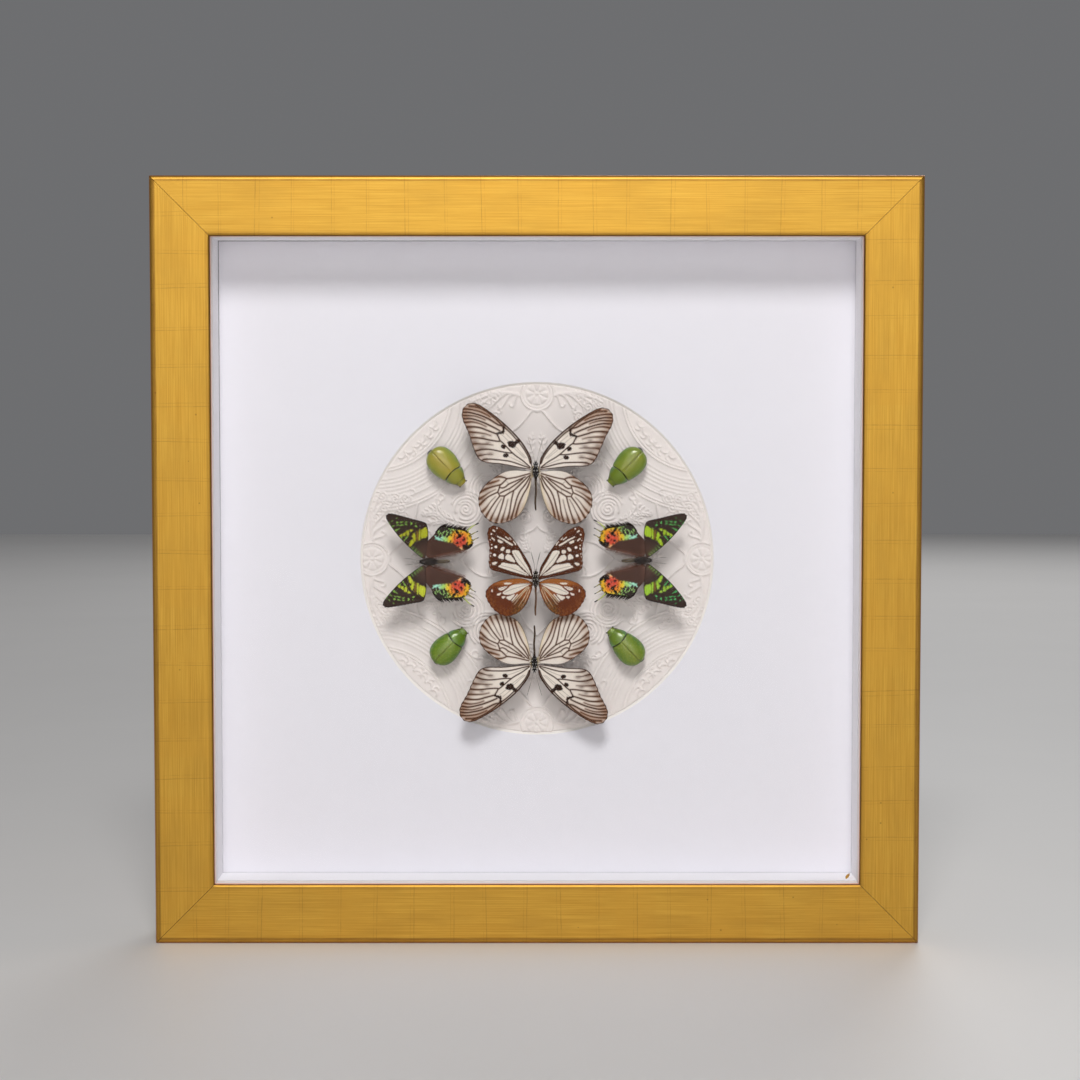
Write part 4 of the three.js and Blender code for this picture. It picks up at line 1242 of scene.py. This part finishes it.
def wing_trim(wing, stand):
    """Spikes, tails and a fringe along the edge of a wing that has them."""
    parts = []
    if "spikes" in wing:
        wild = np.random.default_rng(7)
        for root in even(spline(wing["spikes"]), 1.5):
            tip = root + wild.uniform((1.3, -3.6), (2.9, -1.8))
            spike = stand(np.array([root + [-0.8, 0.8], (root + tip) / 2, tip]), 0.05)
            parts.append(tube(spike, [0.7, 0.45, 0.08], rgb("221813") * wild.uniform(0.7, 1.5), 6))
    for line, radius, code in wing.get("tails", []):
        sides = 8
        tail = tube(stand(spline(line, per=5), 0), radius * np.array([1, 0.8, 0.45, 0.7]), rgb(code), sides)
        # The last rings are dark
        tail[2][-3 * sides:] = rgb("1A1512")
        parts.append(tail)
    if "fringe" in wing:
        hair = np.random.default_rng(5)
        for root in even(spline(wing["fringe"]), 0.12):
            start = root + hair.uniform((0, -0.3), (1.2, 0.3))
            tip = start + hair.uniform((-3.4, -2.6), (-1.4, -0.8))
            strand = stand(np.array([start, (start + tip) / 2 + [0, 0.1], tip]), 0.15)
            parts.append(tube(strand, [0.14, 0.04], rgb("6E4A3C") * hair.uniform(0.6, 1.6), 3))
    return parts


# Species

NYMPH = {
    "forewing": NYMPH_FOREWING, "hindwing": NYMPH_HINDWING, "rise": 7, "droop": 4, "surface": NYMPH_WING,
    "slot": "wing_cream", "colors": nymph_colors, "spacing": 0.42, "scallop": (0.5, 5.2),
    "body": [
        (-30.5, 0.05), (-29.8, 0.6), (-22, 0.8), (-10, 0.8), (-5.5, 1.1), (-4.2, 1.8), (-1.5, 2.6),
        (1.5, 2.5), (3.4, 1.7), (4.2, 1.3), (5.2, 1.6), (6.4, 1.3), (7, 0.05),
    ],
    "depth": 1.5, "antenna": [(0.6, 6.4), (2.4, 14), (6, 26.5)], "club": 0.35,
    "fur": "1E1A18", "abdomen": "3C2C22", "speckle": "E8E4DE", "tuft": "CDB88C",
}
TIGER = {
    "forewing": TIGER_FOREWING, "hindwing": TIGER_HINDWING, "rise": 5, "droop": 3, "surface": TIGER_WING,
    "slot": "wing_brown", "colors": tiger_colors, "spacing": 0.36, "scallop": (0.5, 4.4),
    "body": [
        (-27.7, 0.05), (-27.2, 0.6), (-20, 0.75), (-9, 0.75), (-5.5, 1.1), (-4, 1.7), (-1.5, 2.3),
        (1.5, 2.3), (3.2, 1.6), (4, 1.3), (5, 1.5), (6.2, 1.1), (6.8, 0.05),
    ],
    "depth": 1.5, "antenna": [(0.5, 6), (1.2, 12), (3.6, 21.5)], "club": 0.5,
    "fur": "241C16", "abdomen": "5A3820", "speckle": "DAD2C4", "tuft": "5E4128",
}
MOTH = {
    "forewing": MOTH_FOREWING, "hindwing": MOTH_HINDWING, "rise": 5, "droop": 3, "surface": MOTH_WING,
    "slot": "wing_iridescent", "spacing": 0.3, "scallop": (0.7, 2.6),
    "body": [
        (-16, 0.05), (-15.4, 0.9), (-11, 1.6), (-6, 1.6), (-4.4, 2.2), (-1.5, 3), (2, 2.9), (4.4, 2.1),
        (5.2, 1.5), (6.2, 1.6), (7.2, 1.1), (7.7, 0.05),
    ],
    "depth": 1.3, "antenna": [(0.6, 7), (1.8, 12), (2.6, 19)], "club": 0.3,
    "fur": "2A2422", "abdomen": "463E36", "speckle": "6E6258", "tuft": "6A4A3C",
}

# Name, species, place of the thorax from the window's middle, height over the paper, turn in degrees, size,
# and turns of the wings in the order of WINGS
SPECIMENS = [
    ("tree_nymph_upper", NYMPH, (-1, 69.5), 20, 0, 1.0, (0, -4.5, 0, -1)),
    ("tiger_middle", TIGER, (-1, -14.5), 24, 0, 1.0, (0, -1, 0, 0)),
    ("tree_nymph_lower", NYMPH, (-2, -80), 18, 180, 0.96, (-4, -6, 1, 1)),
    ("sunset_moth_left", MOTH, (-83.5, -1), 18, 90, 1.0, (5, 0, 7, 0)),
    ("sunset_moth_right", MOTH, (81.5, 0), 18, -90, 1.0, (2, 2, 2, 3)),
]
WINGS = ("forewing_left", "forewing_right", "hindwing_left", "hindwing_right")
# Bands and bars of the moths' forewings
MOTH_HUES = {
    "sunset_moth_left": {"left": (rgb("C6CE38"), rgb("98CC50")), "right": (rgb("B2B428"), rgb("8CC448"))},
    "sunset_moth_right": {"left": (rgb("A8C82E"), rgb("5CC65C")), "right": (rgb("A0CA3C"), rgb("54C86C"))},
}


def seat(points, at, lift, degrees, size):
    """Points of a specimen's own frame, placed in the display."""
    turn = math.radians(degrees)
    x, y, z = np.asarray(points, float).T * size
    across = x * math.cos(turn) - y * math.sin(turn)
    up = x * math.sin(turn) + y * math.cos(turn)
    return points_from(at[0] + across, FRONT + PANEL_FRONT - lift - z, HALF + at[1] + up)


def insect_body(species):
    """Abdomen, furry thorax and head with eyes, feelers and folded legs."""
    profile = spline(species["body"], per=5)
    y = profile[:, 0]
    half = np.maximum(profile[:, 1], 0.05)
    angle = turns(22)
    tail = y < -5.5
    ringed = np.where(tail, 1 + 0.06 * np.cos(y * 2.6), 1.0) * half
    high = ringed[:, None] * np.sin(angle) * species["depth"]
    rings = points_from(-ringed[:, None] * np.cos(angle), y[:, None], high)
    verts, tris, colors = skin(rings, rgb(species["fur"]))
    verts[:, 0] += 0.3 * np.sin(0.32 * verts[:, 1]) * smooth(-7, -12, verts[:, 1])
    paint(colors, smooth(-5, -7, verts[:, 1]), rgb(species["abdomen"]))
    flank = smooth(0.2, 0.8, np.abs(verts[:, 0]) / 0.9) * smooth(-6, -9, verts[:, 1])
    paint(colors, 0.35 * flank, "9C8C74")
    parts = [(verts, tris, colors)]
    for side in (-1, 1):
        parts += insect_limbs(species, side)
    return join(parts + insect_fur(species, y, half))


def insect_limbs(species, side):
    """Eye, mouthpart, feeler and three folded legs of one side."""
    palp = [(side * 0.4, 6.4, -0.2), (side * 0.5, 7.4, 0.1), (side * 0.45, 8.1, 0.5)]
    feeler = spline([(side * x, y, 0.8) for x, y in species["antenna"]], per=10)
    swell = species["club"] * np.array([0.28, 0.24, 0.24, 0.6, 0.3])
    parts = [
        ball((side * 1.15, 5.5, 0.5), (0.75, 0.85, 0.95), rgb("0E0C0B")),
        tube(palp, [0.35, 0.12], rgb(species["fur"]), 6),
        tube(feeler, swell, rgb("7E746A"), 7),
    ]
    for reach, ahead in ((2.6, 2.4), (3.2, 0.2), (3.0, -2.2)):
        hip = (side * 1.2, ahead * 0.6, -2.2)
        leg = spline([hip, (side * reach, ahead, -4.2), (side * 1.4, ahead * 1.6, -7.4)], per=4)
        parts.append(tube(leg, [0.34, 0.26, 0.12], rgb("241D18"), 6))
    return parts


def insect_fur(species, y, half):
    """Tufts by the wings' roots, short fur and pale spots, on half widths given along the body."""
    parts = []
    depth = species["depth"]
    fur = np.random.default_rng(11)
    for i in range(110):
        side = 1 if i % 2 else -1
        root = np.array([side * 1.7, fur.uniform(-4.5, 4), 1.3])
        tip = root + [side * fur.uniform(1.2, 3.6), fur.uniform(-2.6, 0.6), fur.uniform(0, 0.9)]
        bend = (root + tip) / 2 + [0, 0, 0.3]
        shade = rgb(species["tuft"]) * fur.uniform(0.5, 1.2)
        parts.append(tube([root, bend, tip], [0.12, 0.08, 0.02], shade, 3))
    for _ in range(150):
        place = fur.uniform(-4.6, 4.2)
        wide = np.interp(place, y, half)
        around = fur.uniform(0.1, math.pi - 0.1)
        out = np.array([math.cos(around), -0.5, math.sin(around) * depth])
        root = np.array([wide * math.cos(around), place, wide * math.sin(around) * depth]) * 0.96
        pale = fur.random() < 0.22
        shade = rgb(species["speckle"]) if pale else rgb(species["fur"]) * fur.uniform(0.8, 2.0)
        tip = root + out * fur.uniform(0.35, 0.75)
        parts.append(tube([root, (root + tip) / 2 + [0, -0.1, 0], tip], [0.12, 0.09, 0.02], shade, 3))
    for dx, dy in ((0.9, 5.9), (1.5, 2.6), (1.2, 0.2), (1.7, -2.2), (0.4, 3.8)):
        wide = np.interp(dy, y, half)
        rise = depth * math.sqrt(max(0.05, wide**2 - min(dx, wide * 0.9) ** 2))
        for side in (-1, 1):
            parts.append(ball((side * dx, dy, rise), (0.34, 0.4, 0.16), rgb(species["speckle"]), 5, 8))
    return parts


def wing_colors(name, species, kind, hand, points):
    """The painted scales of one wing; the moths differ from wing to wing."""
    wing = species[kind]
    fore = kind == "forewing"
    if species is not MOTH:
        return species["colors"](points, wing, fore)
    if fore:
        return moth_forewing_colors(points, wing, MOTH_HUES[name][hand])
    return moth_hindwing_colors(points, wing)


def make_specimens():
    """The five butterflies and moths, each with four wings and a body."""
    blanks = {}
    for species in (NYMPH, TIGER, MOTH):
        for kind in ("forewing", "hindwing"):
            wing = species[kind]
            flat, tris, rim = wing_blank(wing["outline"], species["spacing"], species["scallop"])
            blanks[species["slot"], kind] = (flat, tris, rim, vein_relief(flat, wing))
    for name, species, at, lift, turn, size, spread in SPECIMENS:
        for which, degrees in zip(WINGS, spread):
            kind, hand = which.split("_")
            blank = blanks[species["slot"], kind]
            colors = wing_colors(name, species, kind, hand, blank[0])
            side = -1 if hand == "left" else 1
            verts, faces, shades = make_wing(species, kind, side, degrees, blank, colors)
            made = (seat(verts, at, lift, turn, size), faces, shades)
            node = f"{name}_{which}"
            add_piece(f"{node}_scaled", made, species["surface"], [node])
        verts, faces, shades = insect_body(species)
        made = (seat(verts, at, lift, turn, size), faces, shades)
        add_piece(f"{name}_furred_body", made, BODY, [f"{name}_body"])


# Beetles

# Name, place from the window's middle, turn, size, wing cases, their rim, share of ochre, place of a hole
BEETLES = [
    ("beetle_upper_left", (-70, 72), -136, 1.02, "94922A", "6C8A36", 0.75, None),
    ("beetle_upper_right", (69.5, 72), 135.5, 1.01, "6C8014", "4E7A24", 0.25, (4.2, -5.4)),
    ("beetle_lower_left", (-68.5, -67.5), -45, 0.97, "5C7C0A", "3A6A1C", 0.12, (-0.8, -10.4)),
    ("beetle_lower_right", (69, -67.5), 44.5, 0.99, "66801E", "467636", 0.2, None),
]


def dome(outline, height, belly, middle, color, rows, sides, fall=0.75, lean=0.0):
    """A domed shell over half widths given along the body, whose height falls by a power of the width."""
    line = spline(outline, per=6)
    y = np.interp(np.linspace(0, 1, rows), np.linspace(0, 1, len(line)), line[:, 0])
    half = np.maximum(np.interp(np.linspace(0, 1, rows), np.linspace(0, 1, len(line)), line[:, 1]), 0.05)
    ridge = math.pi / 2 + np.array([-0.06, -0.035, -0.015, 0.015, 0.035, 0.06])
    angle = np.sort(np.append(turns(sides), ridge))
    arch = (half / half.max()) ** fall
    up = np.where(np.sin(angle) > 0, height, belly)
    wide = np.sign(np.cos(angle)) * np.abs(np.cos(angle)) ** 0.85
    tall = np.sign(np.sin(angle)) * np.abs(np.sin(angle)) ** 0.9
    high = middle + arch[:, None] * (up * tall)[None] + lean * (y[:, None] - y.mean())
    return skin(points_from(-half[:, None] * wide, y[:, None], high), color)


def seam_bow(verts):
    """Bows the seam between wing cases and fore body back towards the middle line."""
    near = np.exp(-(((verts[:, 1] - 6.8) / 3.2) ** 2))
    shift = -1.4 * np.clip(1 - (verts[:, 0] / 7.4) ** 2, 0, 1) * near
    return verts + points_from(0, shift, 0)


def beetle(color, rim_color, ochre, hole):
    """Wing cases with a seam, fore body, head, eyes, feelers and folded legs."""
    green = rgb(color)
    rim = rgb(rim_color)
    seam_dark = rgb("141408")
    cases = [
        (-17.6, 0.2), (-17.2, 3.8), (-15.4, 7.2), (-12, 9.8), (-7, 11), (-2, 10.8), (3, 9.7), (5.6, 8.8),
        (6.3, 8.2), (6.7, 6), (6.8, 0.2),
    ]
    verts, tris, colors = dome(cases, 7.6, 4.6, 0, green, 56, 48, 0.42)
    x, y, z = verts.T
    upper = z > 0.5
    wave = np.sin(x * 0.9 + 1.3) * np.sin(y * 0.55)
    paint(colors, ochre * smooth(7.5, 1.5, np.abs(x)) * (0.75 + 0.25 * wave), "A88C22")
    paint(colors, 0.7 * smooth(0.6, 0.95, np.abs(x) / 11) + 0.5 * smooth(-13, -17, y), rim)
    paint(colors, 0.4 * smooth(3.2, 1.2, z) * upper, "5C947A")
    paint(colors, 0.3 * smooth(0.2, 0.9, wave), green * 1.3)
    mottle = np.sin(1.7 * x + 0.8 * np.sin(0.9 * y)) * np.sin(1.3 * y + 1.1 * np.sin(0.7 * x))
    paint(colors, 0.3 * smooth(0.1, 0.8, mottle) * upper, "A6A444")
    groove = np.exp(-((x / 0.4) ** 2)) * upper
    verts[:, 2] -= 0.35 * groove
    paint(colors, 0.6 * groove * smooth(8, -6, y), rgb("5E4A14") * 0.5)
    paint(colors, smooth(5.8, 6.2, y), seam_dark)
    paint(colors, smooth(0.2, -1.5, z), "2A2A16")
    if hole:
        gap = np.hypot(x - hole[0], y - hole[1])
        verts[:, 2] -= 0.5 * np.exp(-((gap / 0.5) ** 2)) * upper
        paint(colors, smooth(0.7, 0.3, gap) * upper, "1A1A0C")
    parts = [(seam_bow(verts), tris, colors)]

    fore = [
        (6.7, 0.2), (6.8, 7.2), (7.1, 8.2), (9, 7.8), (11.6, 6.6), (13.4, 5.3), (14.2, 4.6), (14.5, 0.2),
    ]
    verts, tris, colors = dome(fore, 6.4, 3.8, -0.2, green * 0.95, 26, 40, 0.6, -0.16)
    paint(colors, 0.45 * smooth(0.65, 1.0, np.abs(verts[:, 0]) / 7.2), "5C947A")
    paint(colors, smooth(7.0, 6.8, verts[:, 1]), seam_dark)
    paint(colors, smooth(0, -1.5, verts[:, 2]), "2A2A16")
    parts.append((seam_bow(verts), tris, colors))
    parts.append(ball((0, 6.0, -0.6), (6.2, 2.4, 4.4), seam_dark))

    head = [(13, 0.2), (13.3, 4), (14.4, 4.1), (15.8, 3.7), (17.2, 3.1), (17.8, 2.2), (18, 0.2)]
    verts, tris, colors = dome(head, 2.7, 2.2, -0.9, green * 0.95, 20, 28, 0.6)
    paint(colors, 0.5 * ochre * smooth(15, 17, verts[:, 1]), "A88C22")
    parts.append((verts, tris, paint(colors, smooth(13.9, 13.6, verts[:, 1]), seam_dark)))
    plate = [(2.6, 0.1), (3.2, 0.5), (4.4, 1.3), (5.2, 1.8), (5.4, 0.1)]
    verts, tris, colors = dome(plate, 1.0, 1.0, 5.7, green * 0.85, 12, 16)
    border = smooth(0.7, 1.2, np.abs(verts[:, 0]) + 0.4 * (4 - verts[:, 1]))
    parts.append((verts, tris, paint(colors, border, seam_dark)))
    parts.append(ball((1.6, -17.4, -1.6), (2.6, 1.2, 1.6), rgb("14161E")))
    for s in (-1, 1):
        parts.append(ball((s * 3.7, 14.7, -0.6), (0.75, 0.95, 0.9), rgb("0A0908")))
        feeler = spline([(s * 2.6, 16.6, -1.2), (s * 3.4, 17.2, -1.0), (s * 3.2, 18, -1.0)], per=4)
        parts.append(tube(feeler, [0.2, 0.2, 0.6, 0.45], rgb("17130F"), 7))
        legs = [
            [(s * 3.4, 8, -2.4), (s * 4.8, 10.4, -3.4), (s * 4.8, 12.8, -5.6), (s * 3.6, 14.6, -7.6)],
            [(s * 5, 1, -2.4), (s * 8.4, -0.4, -3.6), (s * 8, -4.6, -6.4), (s * 7, -6.4, -7.8)],
            [(s * 5, -6, -2.4), (s * 8.6, -10.5, -3.8), (s * 8.2, -13.4, -6), (s * 5.4, -15.8, -7.8)],
        ]
        for leg in legs:
            parts.append(tube(spline(leg, per=5), [1.0, 0.8, 0.5, 0.28], rgb("26241A"), 8))
    return join(parts)


def make_beetles():
    """The four beetles on the diagonals."""
    for name, at, turn, size, color, rim_color, ochre, hole in BEETLES:
        verts, faces, shades = beetle(color, rim_color, ochre, hole)
        made = (seat(verts, at, BEETLE_LIFT, turn, size), faces, shades)
        add_piece(f"{name}_shell", made, SHELL, [f"{name}_body"])


# Pieces that keep the shape of their solid

def dress_solids():
    """Gives materials to the solids that stay, and keeps the glass from casting a shade."""
    pin_steel = steel()
    looks = {
        "spacer": WHITE_BOARD, "embossed_panel": EMBOSSED, "backing": BROWN_BOARD, "dust": kraft_paper(),
        "hanger": pin_steel, "bumper": rubber(), "glass": clear_glass(),
    }
    for name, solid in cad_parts.items():
        chosen = pin_steel if name.endswith("_pin") else None
        for start, surface in looks.items():
            if name.startswith(start):
                chosen = surface
        if chosen:
            solid.data.materials.clear()
            solid.data.materials.append(chosen)
    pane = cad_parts["glass"]
    pane.visible_shadow = False
    pane.visible_diffuse = False


# Floor, light and camera

def make_stage():
    """A plain floor, soft light all round and four lamps."""
    bpy.ops.mesh.primitive_plane_add(size=FLOOR_SIZE)
    floor = bpy.context.object
    floor.name = "floor"
    s = Surface("pale_floor", Roughness=0.55)
    cloud = s.noise(s.place(), 3.0, 3.0)
    s.set("Base Color", s.mix(cloud, "DEDCDA", "E4E2E0"))
    floor.data.materials.append(s.material)

    world = bpy.data.worlds.new("studio")
    bpy.context.scene.world = world
    world.use_nodes = True
    sky = world.node_tree.nodes["Background"].inputs
    sky["Color"].default_value = SKY_COLOR
    sky["Strength"].default_value = SKY_STRENGTH

    def add_lamp(name, at, size, watts, unseen=()):
        """A round lamp aimed at the middle of the frame, which some kinds of rays don't see."""
        light = bpy.data.lights.new(name, "AREA")
        light.energy = watts
        light.shape = "DISK"
        light.size = size
        lamp = bpy.data.objects.new(name, light)
        lamp.location = at
        aim = np.array([0, 0, HALF * MM]) - np.array(at)
        turn = math.atan2(aim[0], -aim[1]) + math.pi
        lamp.rotation_euler = (math.atan2(math.hypot(aim[0], aim[1]), -aim[2]), 0, turn)
        bpy.context.scene.collection.objects.link(lamp)
        for ray in unseen:
            setattr(lamp, "visible_" + ray, False)

    # The key shades the relief, the fill by the camera opens the shadows, and the large one lights the leaf
    add_lamp("key", (0.0, -2.87, 3.07), 1.15, 82)
    add_lamp("eye_fill", (0.0, -3.4, 0.8), 2.0, 21, ["glossy"])
    add_lamp("rail_fill", (0.0, -5.0, 2.35), 4.6, 98, ["diffuse", "transmission"])
    add_lamp("back_fill", (1.2, 4.4, 3.0), 2.4, 60)


def make_camera():
    """The photograph's view."""
    camera = bpy.data.cameras.new("camera")
    camera.sensor_width = SENSOR_WIDTH
    camera.lens = SENSOR_WIDTH * FOCAL_SHARE
    holder = bpy.data.objects.new("camera", camera)
    holder.location = [c * MM for c in CAMERA_AT]
    holder.rotation_euler = (math.radians(90 - CAMERA_TILT), 0, 0)
    bpy.context.scene.collection.objects.link(holder)
    bpy.context.scene.camera = holder
    bpy.context.scene.view_settings.view_transform = "Standard"


make_camera()
make_stage()
dress_solids()
make_rails()
make_mat()
make_fleck()
make_paper()
make_specimens()
make_beetles()
